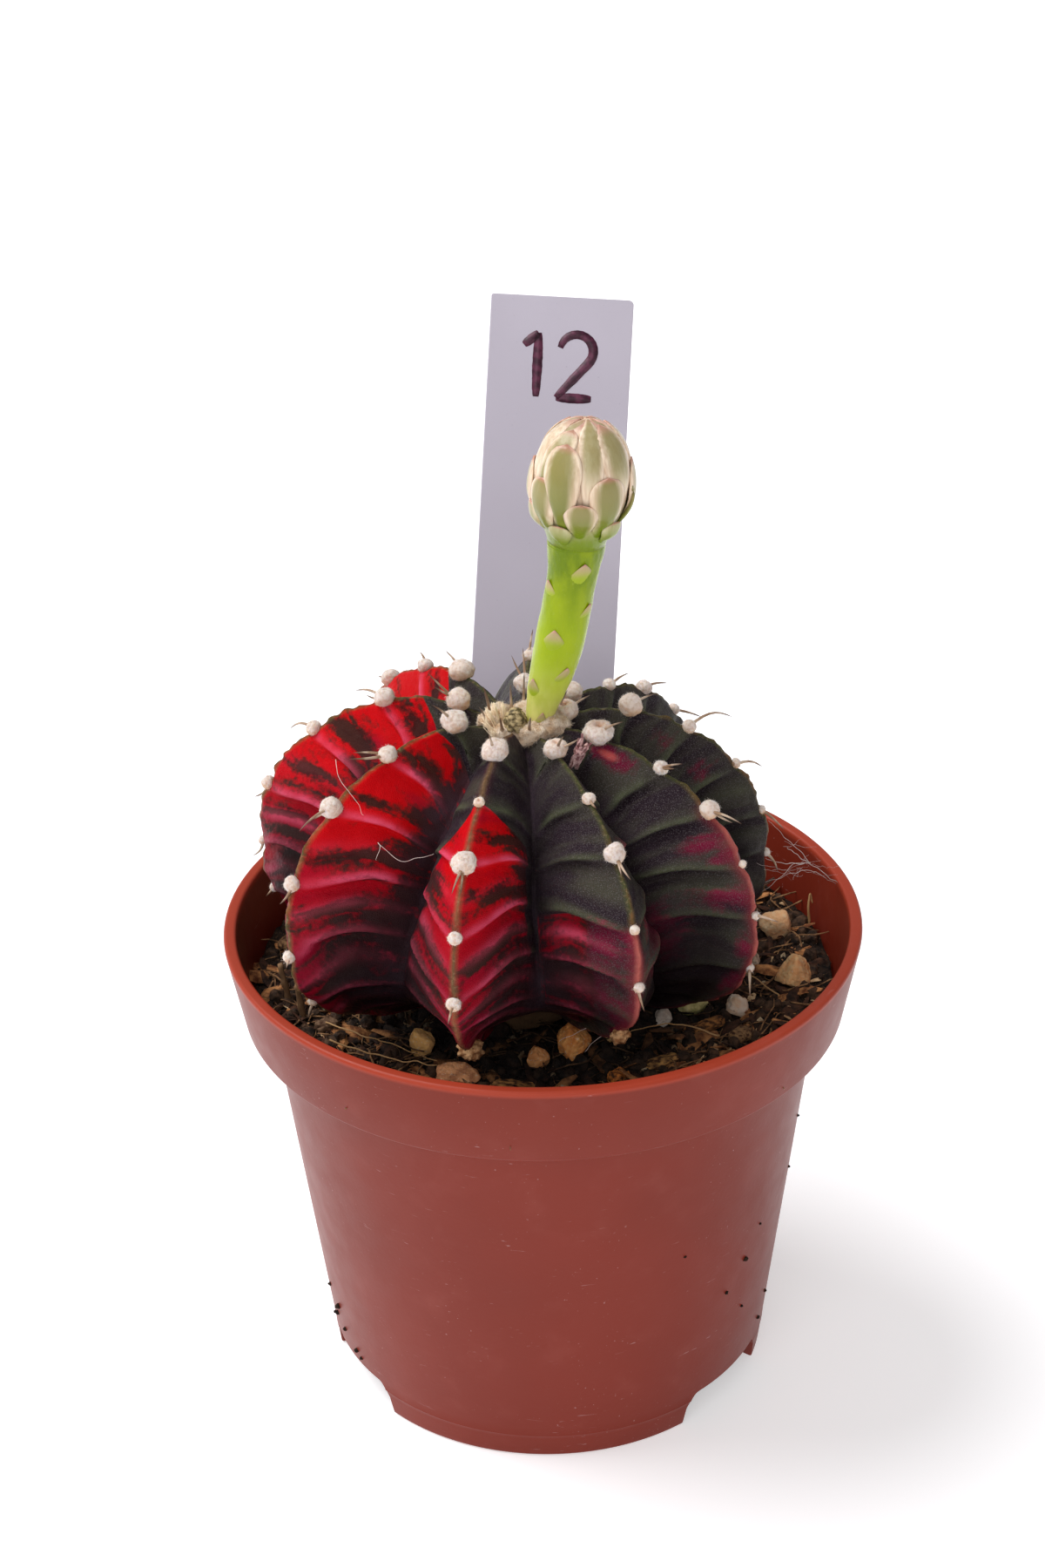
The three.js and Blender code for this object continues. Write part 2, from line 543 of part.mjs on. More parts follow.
// How far the tepals stand out of the egg: each is a pointed blade, highest along its middle,
// and the outer ones lie on top of the inner ones.
function tepalRelief(share, azimuth) {
  let stand = 0;
  TEPAL_RINGS.forEach(({ count, first, low, high, half, lift }) => {
    const way = clamp01((share - low) / (high - low));
    const outline = Math.sin(Math.PI * way ** 0.75) ** 0.6;
    const spacing = 360 / count;
    const off = Math.abs((((azimuth - first) % spacing) + spacing * 1.5) % spacing - spacing / 2);
    const across = (rad(off) * budRadius(share)) / (half * outline + 1e-6);
    if (across < 1) stand = Math.max(stand, lift * (1 - 0.45 * across * across));
  });
  return stand;
}

function flowerBud() {
  const rings = BUD_SHARES.map((share) => Array.from({ length: BUD_SIDES }, (_, j) => {
    const azimuth = (360 * j) / BUD_SIDES;
    const r = budRadius(share) + tepalRelief(share, azimuth);
    return new THREE.Vector3(r * Math.cos(rad(azimuth)), r * Math.sin(rad(azimuth)), BUD_HEIGHT * share);
  }));
  const geometry = skin(rings, new THREE.Vector3(), new THREE.Vector3(0, 0, BUD_HEIGHT));
  return toSolid(geometry.rotateY(rad(BUD_LEAN)).translate(...BUD_FOOT.toArray()));
}

// The shrivelled end of an old flower: a crumpled, drooping stub.
function driedFlowerSolid(grown) {
  const foot = new THREE.Vector3(...DRIED_FLOWER.foot);
  const tip = new THREE.Vector3(...DRIED_FLOWER.tip);
  const shares = [0, 0.3, 0.5, 0.75, 1];
  const widths = [0.7, 0.75, 1.15, 0.8, 0.45];
  const centres = shares.map((share, i) => foot.clone().lerp(tip, share)
    .add(new THREE.Vector3(i % 2 ? 0.18 : -0.12, i % 2 ? -0.1 : 0.12, 0)));
  if (grown > 0) centres[0].z -= grown;
  return limb(centres, widths.map((width) => width * DRIED_FLOWER.radius + grown * 1.7), 7);
}

// ---- label

const labelUp = LABEL_TOP.clone().sub(LABEL_FOOT).normalize();
const labelAcross = new THREE.Vector3(1, 0, 0).addScaledVector(labelUp, -labelUp.x).normalize();
const labelFront = labelAcross.clone().cross(labelUp);
const labelTurn = new THREE.Quaternion().setFromRotationMatrix(
  new THREE.Matrix4().makeBasis(labelAcross, labelUp, labelFront));

function labelStrip(grown) {
  const half = LABEL_WIDTH / 2 + grown;
  const top = LABEL_LENGTH + grown;
  const shape = new THREE.Shape();
  shape.moveTo(0, -grown);
  shape.lineTo(half, LABEL_POINT);
  shape.lineTo(half, top - LABEL_CORNER);
  shape.lineTo(half - LABEL_CORNER, top);
  shape.lineTo(LABEL_CORNER - half, top);
  shape.lineTo(-half, top - LABEL_CORNER);
  shape.lineTo(-half, LABEL_POINT);
  const depth = LABEL_THICKNESS + 2 * grown;
  return new THREE.ExtrudeGeometry(shape, { depth, bevelEnabled: false }).translate(0, 0, -depth / 2);
}

function labelSlot() {
  const strip = labelStrip(GAP + 0.05);
  return toSolid(strip.applyQuaternion(labelTurn).translate(...LABEL_FOOT.toArray()));
}

// ---- soil, grit and bark

function soilHeight(x, y) {
  const r = Math.hypot(x, y);
  const waves = Math.sin(x * 0.41 + 1.3) * Math.cos(y * 0.37 - 0.6) + 0.6 * Math.sin(x * 0.83 - y * 0.71);
  const bank = SOIL_BANK * smooth(21, 31, r);
  return SOIL_Z + bank + SOIL_RELIEF * waves * (1 - smooth(24, 31, r));
}

function soilBlock() {
  const random = draws(7);
  const level = (radius, height, uneven = 0) => Array.from({ length: SOIL_SIDES }, (_, j) => {
    const angle = (2 * Math.PI * j) / SOIL_SIDES;
    const x = radius * Math.cos(angle);
    const y = radius * Math.sin(angle);
    return new THREE.Vector3(x, y, (height ?? soilHeight(x, y)) + random(-uneven, uneven));
  });
  const facet = 0.1; // a ring of flats has to clear the pot's flats
  const ledge = COLLAR_Z + POT_WALL + GAP;
  const neck = NECK_RADIUS - POT_WALL - GAP - facet;
  const collar = COLLAR_RADIUS - POT_WALL - GAP - facet;
  const floor = POT_FLOOR + GAP;
  const rings = [
    level(BASE_RADIUS - POT_WALL - GAP - facet, floor), level(neck, ledge - 0.5), level(collar, ledge),
    level(collar), ...SOIL_TOP_RADII.map((radius) => level(radius, undefined, 0.3)),
  ];
  return toSolid(skin(rings, new THREE.Vector3(0, 0, floor), new THREE.Vector3(0, 0, SOIL_Z)));
}

// The frame of a piece that lies turned and tilted on the soil.
function lyingFrame(turn, tilt) {
  const pose = new THREE.Quaternion().setFromEuler(new THREE.Euler(rad(tilt), 0, rad(turn), 'ZXY'));
  return [[1, 0, 0], [0, 1, 0], [0, 0, 1]].map((axis) => new THREE.Vector3(...axis).applyQuaternion(pose));
}

function gritStone([x, y, width, depth, height], number, grown) {
  const random = draws(100 + number);
  const centre = new THREE.Vector3(x, y, soilHeight(x, y) + height * (0.5 - STONE_SUNK));
  const frame = lyingFrame(random(0, 180), random(-15, 15));
  const halves = [width, depth, height].map((size) => size / 2 + grown * 1.25);
  return lump(centre, frame, halves, height > 2.7 ? 32 : 20, 0.11, random);
}

// A chip of bark: a flat slab with a ragged outline, thinner at its ends.
function barkChip([x, y, length, width, height, turn, tilt], number, grown) {
  const random = draws(300 + number);
  const centre = new THREE.Vector3(x, y, soilHeight(x, y) + height * 0.35);
  const [along, across, up] = lyingFrame(turn, tilt);
  const outline = Array.from({ length: 9 }, (_, j) => {
    const angle = (2 * Math.PI * j) / 9;
    const ragged = random(0.78, 1.08);
    return [Math.cos(angle) * (length / 2) * ragged, Math.sin(angle) * (width / 2) * ragged];
  });
  const ring = (level, size) => outline.map(([a, b]) => centre.clone()
    .addScaledVector(along, a * size + Math.sign(a) * grown * 1.5)
    .addScaledVector(across, b * size + Math.sign(b) * grown * 1.5).addScaledVector(up, level));
  const half = height / 2 + grown;
  const foot = centre.clone().addScaledVector(up, -half);
  const top = centre.clone().addScaledVector(up, half);
  return toSolid(skin([ring(-half, 0.86), ring(0, 1), ring(half, 0.82)], foot, top));
}

function twigStick([x, y, length, radius, leanX, leanY], grown) {
  const way = new THREE.Vector3(Math.sin(rad(leanX)), Math.sin(rad(leanY)), 1).normalize();
  const surface = new THREE.Vector3(x, y, soilHeight(x, y));
  const foot = surface.clone().addScaledVector(way, -TWIG_SUNK - grown);
  const tip = surface.clone().addScaledVector(way, length + grown);
  const radii = [radius, radius * 1.1, radius * 0.7].map((thickness) => thickness + grown);
  return limb([foot, foot.clone().lerp(tip, 0.5), tip], radii, 6);
}

function soilSolid() {
  const pockets = [
    ...GRIT.map((size, i) => gritStone(size, i, GAP)),
    ...BARK.map((size, i) => barkChip(size, i, GAP)),
    ...TWIGS.map((size) => twigStick(size, GAP)),
  ];
  return wholePiece(soilBlock().subtract(joined([rootLimb(GAP), labelSlot(), ...pockets])));
}

// ---- the plant in its pot

function piece(name, geometry, finish) {
  const [color, roughness] = COLOURS[finish];
  const mesh = new THREE.Mesh(geometry, new THREE.MeshStandardMaterial({ color, roughness, metalness: 0 }));
  mesh.name = name;
  return mesh;
}

const numbered = (stem, i) => `${stem}_${String(i + 1).padStart(2, '0')}`;

const group = new THREE.Group();
group.name = 'potted_moon_cactus';
group.add(piece('pot', toGeometry(potSolid()), 'pot'));
group.add(piece('soil', toGeometry(soilSolid()), 'soil'));
group.add(piece('cactus_body', toGeometry(cactusBody()), 'cactus_body'));
group.add(piece('flower_tube', toGeometry(flowerTube()), 'flower_tube'));
group.add(piece('flower_bud', toGeometry(flowerBud()), 'flower_bud'));
group.add(piece('dried_flower', toGeometry(driedFlowerSolid(0)), 'dried_flower'));

const label = piece('plant_label', labelStrip(0), 'plant_label');
label.position.copy(LABEL_FOOT);
label.quaternion.copy(labelTurn);
group.add(label);

GRIT.forEach((size, i) => group.add(piece(numbered('grit', i), toGeometry(gritStone(size, i, 0)), 'grit')));
BARK.forEach((size, i) => group.add(piece(numbered('bark', i), toGeometry(barkChip(size, i, 0)), 'bark')));
TWIGS.forEach((size, i) => group.add(piece(numbered('twig', i), toGeometry(twigStick(size, 0)), 'twig')));

export default group;
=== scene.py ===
# A potted moon cactus in bud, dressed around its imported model: the pot, the soil and what lies
# on it, the ribbed stem with its wool and spines, the flower bud and the plant label.

import bpy
import bmesh
import math
import numpy as np
from mathutils import Matrix, Vector, noise


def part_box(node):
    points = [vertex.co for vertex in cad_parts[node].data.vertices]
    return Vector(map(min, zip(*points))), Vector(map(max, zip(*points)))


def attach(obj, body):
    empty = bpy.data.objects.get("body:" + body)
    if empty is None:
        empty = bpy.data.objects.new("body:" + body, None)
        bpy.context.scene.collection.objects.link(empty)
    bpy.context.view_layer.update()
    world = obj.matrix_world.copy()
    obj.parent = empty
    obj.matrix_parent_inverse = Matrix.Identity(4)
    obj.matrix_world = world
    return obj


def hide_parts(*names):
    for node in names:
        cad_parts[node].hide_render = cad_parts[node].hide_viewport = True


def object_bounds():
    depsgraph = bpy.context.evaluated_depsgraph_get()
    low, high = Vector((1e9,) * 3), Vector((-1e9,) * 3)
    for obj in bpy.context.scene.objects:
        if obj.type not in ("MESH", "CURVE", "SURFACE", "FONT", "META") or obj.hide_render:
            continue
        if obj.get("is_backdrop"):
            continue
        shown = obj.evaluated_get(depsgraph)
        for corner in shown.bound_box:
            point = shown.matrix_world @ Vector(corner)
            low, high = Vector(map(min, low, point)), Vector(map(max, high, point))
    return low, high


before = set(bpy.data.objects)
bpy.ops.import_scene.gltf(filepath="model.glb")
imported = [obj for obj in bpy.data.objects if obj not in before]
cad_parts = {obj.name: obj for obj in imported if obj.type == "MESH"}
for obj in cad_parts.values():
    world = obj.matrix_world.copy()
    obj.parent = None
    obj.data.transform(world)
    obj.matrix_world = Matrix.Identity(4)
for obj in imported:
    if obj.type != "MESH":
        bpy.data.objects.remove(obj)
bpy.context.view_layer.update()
MM = 0.001  # sizes below are in millimetres

# ---- The view: from in front and above, rolled a little to the right. The lens shows the whole
# plant, its label and some of the table.

CAMERA_PLACE = Vector((-1.9, -271.5, 216.4)) * MM
CAMERA_DOWN = math.radians(28.1)
CAMERA_ROLL = math.radians(-1.19)
LENS = 66


def placed(name, data):
    """A new object in the scene."""
    thing = bpy.data.objects.new(name, data)
    bpy.context.collection.objects.link(thing)
    return thing


camera = placed("camera", bpy.data.cameras.new("camera"))
camera.data.lens = LENS
camera.data.sensor_width = 36
camera.matrix_world = (
    Matrix.Translation(CAMERA_PLACE)
    @ Matrix.Rotation(math.pi / 2 - CAMERA_DOWN, 4, "X")
    @ Matrix.Rotation(CAMERA_ROLL, 4, "Z")
)
bpy.context.scene.camera = camera

# ---- The floor and the light: a white table that glows a little, in a white room, under a wide soft
# lamp high up on the left and a weaker one in front.

FLOOR_HALF = 3.0
FLOOR_WHITE = (0.86, 0.85, 0.87, 1)
FLOOR_GLOW = 0.42
ROOM_LIGHT = 0.32
LAMPS = [  # name, where its light comes from, spread in degrees, strength
    ("key_lamp", (-0.6, 0.16, 1.0), 40, 2.6),
    ("fill_lamp", (-0.25, -1.0, 0.6), 50, 0.9),
]

bpy.context.scene.view_settings.view_transform = "Standard"
world = bpy.data.worlds.new("white_room")
bpy.context.scene.world = world
world.use_nodes = True
room = world.node_tree.nodes["Background"]
room.inputs["Color"].default_value = (1, 1, 1, 1)
seen = world.node_tree.nodes.new("ShaderNodeLightPath")
level = world.node_tree.nodes.new("ShaderNodeMapRange")
level.inputs["To Min"].default_value = ROOM_LIGHT
level.inputs["To Max"].default_value = 1.0
world.node_tree.links.new(seen.outputs["Is Camera Ray"], level.inputs["Value"])
world.node_tree.links.new(level.outputs["Result"], room.inputs["Strength"])

for name, source, spread, strength in LAMPS:
    lamp = placed(name, bpy.data.lights.new(name, "SUN"))
    lamp.data.angle = math.radians(spread)
    lamp.data.energy = strength
    lamp.rotation_euler = Vector(source).to_track_quat("Z", "Y").to_euler()

floor_mesh = bpy.data.meshes.new("floor")
corners = [(x * FLOOR_HALF, y * FLOOR_HALF, 0) for x, y in ((-1, -1), (1, -1), (1, 1), (-1, 1))]
floor_mesh.from_pydata(corners, [], [(0, 1, 2, 3)])
floor = placed("floor", floor_mesh)
floor_paint = bpy.data.materials.new("white_table")
floor_paint.use_nodes = True
table_top = floor_paint.node_tree.nodes["Principled BSDF"].inputs
table_top["Base Color"].default_value = FLOOR_WHITE
table_top["Roughness"].default_value = 0.7
table_top["Emission Color"].default_value = (1, 1, 1, 1)
table_top["Emission Strength"].default_value = FLOOR_GLOW
floor_mesh.materials.append(floor_paint)
floor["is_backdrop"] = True

# ---- The pot: a tapered nursery pot of thin terracotta-coloured plastic, moulded in one piece,
# with a straight collar, a flat lip and three low drainage notches in its foot.

POT_HEIGHT = 55.3
POT_WALL = 1.0
FOOT_RADIUS = 24.8
NECK_RADIUS = 30.4
COLLAR_Z = 45.75
COLLAR_RADIUS = 33.2
RIM_RADIUS = 35.0
LIP_WIDTH = 1.4
FLOOR_THICKNESS = 1.4
SEAM_Z = 3.1
SEAM_STAND = 0.05
POT_SIDES = 288
NOTCH_AZIMUTHS = (-153, -37, 85)
NOTCH_WIDTH = 14.2
NOTCH_HEIGHT = 4.0
NOTCH_SLANT = 1.3
NOTCH_DEPTH = 4.6
SHARPEST_ROUND = 28  # degrees: edges that turn more stay sharp


def paint(red, green, blue):
    """A colour given from 0 to 255 as it looks in this light, as the shader wants it."""
    return tuple(((c / 255 + 0.055) / 1.055) ** 2.4 for c in (red, green, blue)) + (1,)


class Finish:
    """A surface finish in the making. Each call adds one node and gives back its output."""

    def __init__(self, name, roughness, specular=0.5):
        self.material = bpy.data.materials.new(name)
        self.material.use_nodes = True
        self.tree = self.material.node_tree
        self.shader = self.tree.nodes["Principled BSDF"]
        self.shader.inputs["Roughness"].default_value = roughness
        self.shader.inputs["Specular IOR Level"].default_value = specular
        self.place = self.add("ShaderNodeTexCoord").outputs["Object"]

    def add(self, kind, **settings):
        node = self.tree.nodes.new(kind)
        for key, value in settings.items():
            setattr(node, key, value)
        return node

    def feed(self, socket, value):
        if isinstance(value, bpy.types.NodeSocket):
            self.tree.links.new(value, socket)
        else:
            socket.default_value = value

    def attribute(self, name, output="Fac"):
        return self.add("ShaderNodeAttribute", attribute_name=name).outputs[output]

    def grain(self, size, detail=3.0, stretch=(1, 1, 1), where=None, unit=MM, warp=0.0):
        """Soft noise whose features are about `size` across, drawn out where `stretch` is small."""
        spread = self.add("ShaderNodeMapping")
        self.feed(spread.inputs["Vector"], where or self.place)
        spread.inputs["Scale"].default_value = [s / (size * unit) for s in stretch]
        texture = self.add("ShaderNodeTexNoise")
        self.feed(texture.inputs["Vector"], spread.outputs["Vector"])
        texture.inputs["Scale"].default_value = 1.0
        texture.inputs["Detail"].default_value = detail
        texture.inputs["Distortion"].default_value = warp
        return texture.outputs["Fac"]

    def ramp(self, value, low, high, start=0.0, end=1.0):
        """From `start` to `end` as the value goes from `low` to `high`."""
        node = self.add("ShaderNodeMapRange", interpolation_type="SMOOTHSTEP")
        self.feed(node.inputs["Value"], value)
        for socket, number in zip(("From Min", "From Max", "To Min", "To Max"), (low, high, start, end)):
            node.inputs[socket].default_value = number
        return node.outputs["Result"]

    def math(self, operation, first, second=0.0):
        node = self.add("ShaderNodeMath", operation=operation)
        self.feed(node.inputs[0], first)
        self.feed(node.inputs[1], second)
        return node.outputs["Value"]

    def plus(self, first, second):
        return self.math("ADD", first, second)

    def times(self, first, second):
        return self.math("MULTIPLY", first, second)

    def mix(self, share, first, second):
        node = self.add("ShaderNodeMix", data_type="RGBA")
        self.feed(node.inputs["Factor"], share)
        self.feed([s for s in node.inputs if s.name == "A" and s.type == "RGBA"][0], first)
        self.feed([s for s in node.inputs if s.name == "B" and s.type == "RGBA"][0], second)
        return [s for s in node.outputs if s.type == "RGBA"][0]

    def blend(self, value, low, high, first, second):
        """From the first colour to the second as the value goes from `low` to `high`."""
        return self.mix(self.ramp(value, low, high), paint(*first), paint(*second))

    def split(self, vector):
        node = self.add("ShaderNodeSeparateXYZ")
        self.feed(node.inputs["Vector"], vector)
        return node.outputs

    def colour(self, value):
        self.feed(self.shader.inputs["Base Color"], value)

    def roughness(self, value, low, high, start, end):
        self.feed(self.shader.inputs["Roughness"], self.ramp(value, low, high, start, end))

    def let_light_in(self, weight, *reach):
        """Light that comes out again beside where it went in, `reach` metres off in red, green and blue."""
        self.shader.inputs["Subsurface Weight"].default_value = weight
        self.shader.inputs["Subsurface Radius"].default_value = reach
        self.shader.inputs["Subsurface Scale"].default_value = 1.0

    def relief(self, value, depth):
        """Fine relief that the mesh is too coarse for, `depth` millimetres high."""
        node = self.add("ShaderNodeBump")
        node.inputs["Strength"].default_value = 1.0
        node.inputs["Distance"].default_value = depth * MM
        self.feed(node.inputs["Height"], value)
        self.feed(self.shader.inputs["Normal"], node.outputs["Normal"])


def make_piece(name, points, faces, finish, attributes=None, sharp=None):
    """A mesh from points in millimetres, with its finish and its named values at each point."""
    mesh = bpy.data.meshes.new(name)
    mesh.from_pydata((np.asarray(points, dtype=float) * MM).tolist(), [], faces)
    for key, values in (attributes or {}).items():
        values = np.asarray(values, dtype=np.float32)
        layer = mesh.attributes.new(key, "FLOAT" if values.ndim == 1 else "FLOAT_VECTOR", "POINT")
        layer.data.foreach_set("value" if values.ndim == 1 else "vector", values.ravel())
    mesh.shade_smooth()
    if sharp is not None:
        mesh.set_sharp_from_angle(angle=math.radians(sharp))
    mesh.materials.append(finish.material)
    return placed(name, mesh)


def settle(piece, slot, *nodes):
    """The piece stands with the pot and stands for these nodes; the slot is not used."""
    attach(piece, "root")
    if nodes:
        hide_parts(*nodes)


def skinned(rings, foot, head):
    """Points and faces of a closed skin over rings, bottom to top, with a point at each end."""
    count, sides = rings.shape[:2]
    points = np.concatenate([rings.reshape(-1, 3), [foot], [head]])
    here = np.arange(sides)
    after = (here + 1) % sides
    faces = []
    for row in range(count - 1):
        low, high = row * sides, (row + 1) * sides
        faces.extend(np.stack([low + here, low + after, high + after, high + here], 1).tolist())
    last = (count - 1) * sides
    faces.extend([count * sides, b, a] for a, b in zip(here.tolist(), after.tolist()))
    faces.extend([count * sides + 1, last + a, last + b] for a, b in zip(here.tolist(), after.tolist()))
    return points, faces


def turned(profile, sides):
    """Rings round the Z axis from a profile of radius and height."""
    angle = np.arange(sides) * 2 * math.pi / sides
    return np.array([[(r * math.cos(a), r * math.sin(a), z) for a in angle] for r, z in profile])


def rounded(corners, steps=5):
    """The line through corners (x, y, radius), each rounded by an arc of its radius."""
    line = []
    for i, (x, y, radius) in enumerate(corners):
        here = np.array((x, y))
        if radius == 0 or i in (0, len(corners) - 1):
            line.append(here)
            continue
        before = np.array(corners[i - 1][:2]) - here
        after = np.array(corners[i + 1][:2]) - here
        before, after = before / np.linalg.norm(before), after / np.linalg.norm(after)
        half = math.acos(np.clip(before @ after, -1, 1)) / 2
        reach = radius / math.tan(half)
        centre = here + (before + after) / np.linalg.norm(before + after) * radius / math.sin(half)
        start, end = here + before * reach - centre, here + after * reach - centre
        for step in range(steps + 1):
            arm = start * (1 - step / steps) + end * step / steps
            line.append(centre + arm / np.linalg.norm(arm) * radius)
    return line


def plain(piece):
    """Turns what the piece's modifiers make into its mesh, and removes them."""
    made = bpy.data.meshes.new_from_object(piece.evaluated_get(bpy.context.evaluated_depsgraph_get()))
    piece.modifiers.clear()
    piece.data = made
    return piece


pot_finish = Finish("terracotta_plastic", 0.42, 0.2)
flow = pot_finish.blend(pot_finish.grain(22, 3), 0.3, 0.7, (118, 38, 23), (124, 41, 26))
speck = pot_finish.ramp(pot_finish.grain(0.34, 2), 0.7, 0.78, 0, 0.38)
speck_area = pot_finish.ramp(pot_finish.grain(9, 2), 0.45, 0.62)
scratch = pot_finish.grain(0.55, 2, stretch=(0.22, 0.22, 2.2), warp=1.2)
scratch = pot_finish.ramp(scratch, 0.69, 0.76, 0, 0.34)
scratch_area = pot_finish.ramp(pot_finish.grain(7, 2, stretch=(1, 1, 1.4)), 0.5, 0.62)
dust = pot_finish.ramp(pot_finish.grain(5, 5), 0.5, 0.85, 0, 0.1)
pale = paint(205, 178, 178)
flow = pot_finish.mix(pot_finish.times(speck, speck_area), flow, pale)
flow = pot_finish.mix(pot_finish.times(scratch, scratch_area), flow, pale)
height = pot_finish.split(pot_finish.place)[2]
# A brighter orange band along the top of the lip: a painted highlight.
lip = pot_finish.ramp(height, (POT_HEIGHT - 0.9) * MM, (POT_HEIGHT - 0.3) * MM, 0, 0.8)
flow = pot_finish.mix(lip, flow, paint(168, 62, 40))
pot_finish.colour(pot_finish.mix(dust, flow, paint(176, 106, 98)))
pot_finish.roughness(pot_finish.grain(3, 4), 0.2, 0.8, 0.36, 0.44)
pot_finish.relief(pot_finish.grain(0.5, 3), 0.012)

inner = RIM_RADIUS - LIP_WIDTH
ledge = COLLAR_Z + POT_WALL
taper = (NECK_RADIUS - FOOT_RADIUS) / COLLAR_Z
seam = FOOT_RADIUS + taper * SEAM_Z
above_notch = NOTCH_HEIGHT + 0.4
pot_profile = rounded([
    # radius, height, rounding: up the outside, over the lip and down the inside
    (0, 0, 0), (FOOT_RADIUS, 0, 0.4), (FOOT_RADIUS + taper * 0.8, 0.8, 0),
    (seam - taper * 0.5, SEAM_Z - 0.5, 0), (seam - 0.03, SEAM_Z - 0.16, 0),
    (seam + SEAM_STAND, SEAM_Z, 0), (seam + 0.03, SEAM_Z + 0.16, 0),
    (FOOT_RADIUS + taper * above_notch, above_notch, 0),
    (NECK_RADIUS, COLLAR_Z, 0.35), (COLLAR_RADIUS, COLLAR_Z, 0.4),
    (RIM_RADIUS, POT_HEIGHT, 0.38), (inner, POT_HEIGHT, 0.38),
    (COLLAR_RADIUS - POT_WALL, ledge, 0.3), (NECK_RADIUS - POT_WALL, ledge - 0.4, 0.3),
    (FOOT_RADIUS - POT_WALL + 0.1, FLOOR_THICKNESS, 0.5), (0, FLOOR_THICKNESS, 0),
])
pot_points, pot_faces = skinned(
    turned(pot_profile[1:-1], POT_SIDES), (0, 0, 0), (0, 0, FLOOR_THICKNESS))
pot = make_piece("nursery_pot", pot_points, pot_faces, pot_finish)

half = NOTCH_WIDTH / 2
notch_outline = rounded([
    (-half - 0.3, -1, 0), (-half + 0.2, NOTCH_HEIGHT * 0.6, 1.2), (NOTCH_SLANT - half, NOTCH_HEIGHT, 0.9),
    (half - NOTCH_SLANT, NOTCH_HEIGHT, 0.9), (half - 0.2, NOTCH_HEIGHT * 0.6, 1.2), (half + 0.3, -1, 0),
])
for azimuth in NOTCH_AZIMUTHS:
    turn = math.radians(azimuth)
    out = np.array((math.cos(turn), math.sin(turn), 0))
    along = np.array((-math.sin(turn), math.cos(turn), 0))
    ends = [np.array([out * reach + along * x + np.array((0, 0, z)) for x, z in notch_outline])
            for reach in (FOOT_RADIUS - NOTCH_DEPTH, FOOT_RADIUS + 4)]
    points, faces = skinned(np.array(ends), ends[0].mean(0), ends[1].mean(0))
    cutter = make_piece("notch_cutter", points, faces, pot_finish)
    shape = bmesh.new()
    shape.from_mesh(cutter.data)
    bmesh.ops.recalc_face_normals(shape, faces=shape.faces)
    shape.to_mesh(cutter.data)
    shape.free()
    cut = pot.modifiers.new("notch", "BOOLEAN")
    cut.operation = "DIFFERENCE"
    cut.solver = "EXACT"
    cut.object = cutter
    plain(pot)
    bpy.data.objects.remove(cutter)
pot.data.shade_smooth()
pot.data.set_sharp_from_angle(angle=math.radians(SHARPEST_ROUND))
settle(pot, "pot", "pot")

# ---- The soil: damp dark peat that fills the pot to just above the ledge under its collar, with
# an uneven crumbly top that climbs to the wall.

SOIL_Z = 46.0
SOIL_BANK = 1.8
SOIL_RELIEF = 0.5
CLEARANCE = 0.35
SOIL_SIDES = 300
SOIL_ROWS = 96
CLOD_HEIGHT = 0.85
PLANT_SHADE_RADII = (17, 25)  # painted shade round the plant is full inside the first and gone outside the second


def smooth(low, high, value):
    """0 at `low`, 1 at `high` and an easy passage between."""
    share = np.clip((value - low) / (high - low), 0, 1)
    return share * share * (3 - 2 * share)


def soil_height(x, y):
    """The general lie of the soil, without its crumbs."""
    r = np.hypot(x, y)
    waves = np.sin(x * 0.41 + 1.3) * np.cos(y * 0.37 - 0.6) + 0.6 * np.sin(x * 0.83 - y * 0.71)
    return SOIL_Z + SOIL_BANK * smooth(21, 31, r) + SOIL_RELIEF * waves * (1 - smooth(24, 31, r))


def clods(x, y):
    """Lumps and hollows of the soil's top, from a millimetre to a few across."""
    place = Vector((x, y, 0))
    lumps = noise.fractal(place * 0.42, 0.7, 2.1, 5)
    crumbs = abs(noise.noise(place * 1.3 + Vector((7, 3, 1)))) + 0.5 * abs(noise.noise(place * 2.9))
    return CLOD_HEIGHT * (0.55 * lumps + 0.8 * (crumbs - 0.25))


def shaded_round_plant(finish, colour):
    """The colour, darker close round the plant: painted shade under its stem."""
    x, y, _ = finish.split(finish.place)
    from_middle = finish.math("SQRT", finish.plus(finish.times(x, x), finish.times(y, y)))
    full_shade, no_shade = (radius * MM for radius in PLANT_SHADE_RADII)
    return finish.mix(finish.ramp(from_middle, full_shade, no_shade, 0.82, 0), colour, paint(10, 6, 5))


soil_finish = Finish("damp_peat", 0.92, 0.25)
peat = soil_finish.blend(soil_finish.grain(1.1, 6), 0.35, 0.62, (18, 12, 9), (52, 36, 26))
peat = soil_finish.mix(soil_finish.ramp(soil_finish.grain(0.5, 3), 0.62, 0.72), peat, paint(112, 84, 58))
# The peat darkens close round the plant: painted shade.
soil_finish.colour(shaded_round_plant(soil_finish, peat))
soil_finish.relief(soil_finish.grain(0.35, 5), 0.35)

collar_inside = COLLAR_RADIUS - POT_WALL - CLEARANCE
soil_body = turned([
    (FOOT_RADIUS - POT_WALL - CLEARANCE, FLOOR_THICKNESS + 0.3),
    (NECK_RADIUS - POT_WALL - CLEARANCE, ledge - 0.2), (collar_inside, ledge + 0.3)], SOIL_SIDES)
top_rings = []
for radius in np.linspace(collar_inside, 0.3, SOIL_ROWS):
    ring = turned([(radius, 0)], SOIL_SIDES)[0]
    lie = soil_height(ring[:, 0], ring[:, 1])
    rough = np.array([clods(x, y) for x, y, _ in ring])
    ring[:, 2] = np.maximum(lie + rough, ledge + 0.35 if radius > 29 else 0)
    top_rings.append(ring)
soil_points, soil_faces = skinned(
    np.concatenate([soil_body, top_rings]), (0, 0, FLOOR_THICKNESS + 0.3), (0, 0, SOIL_Z))
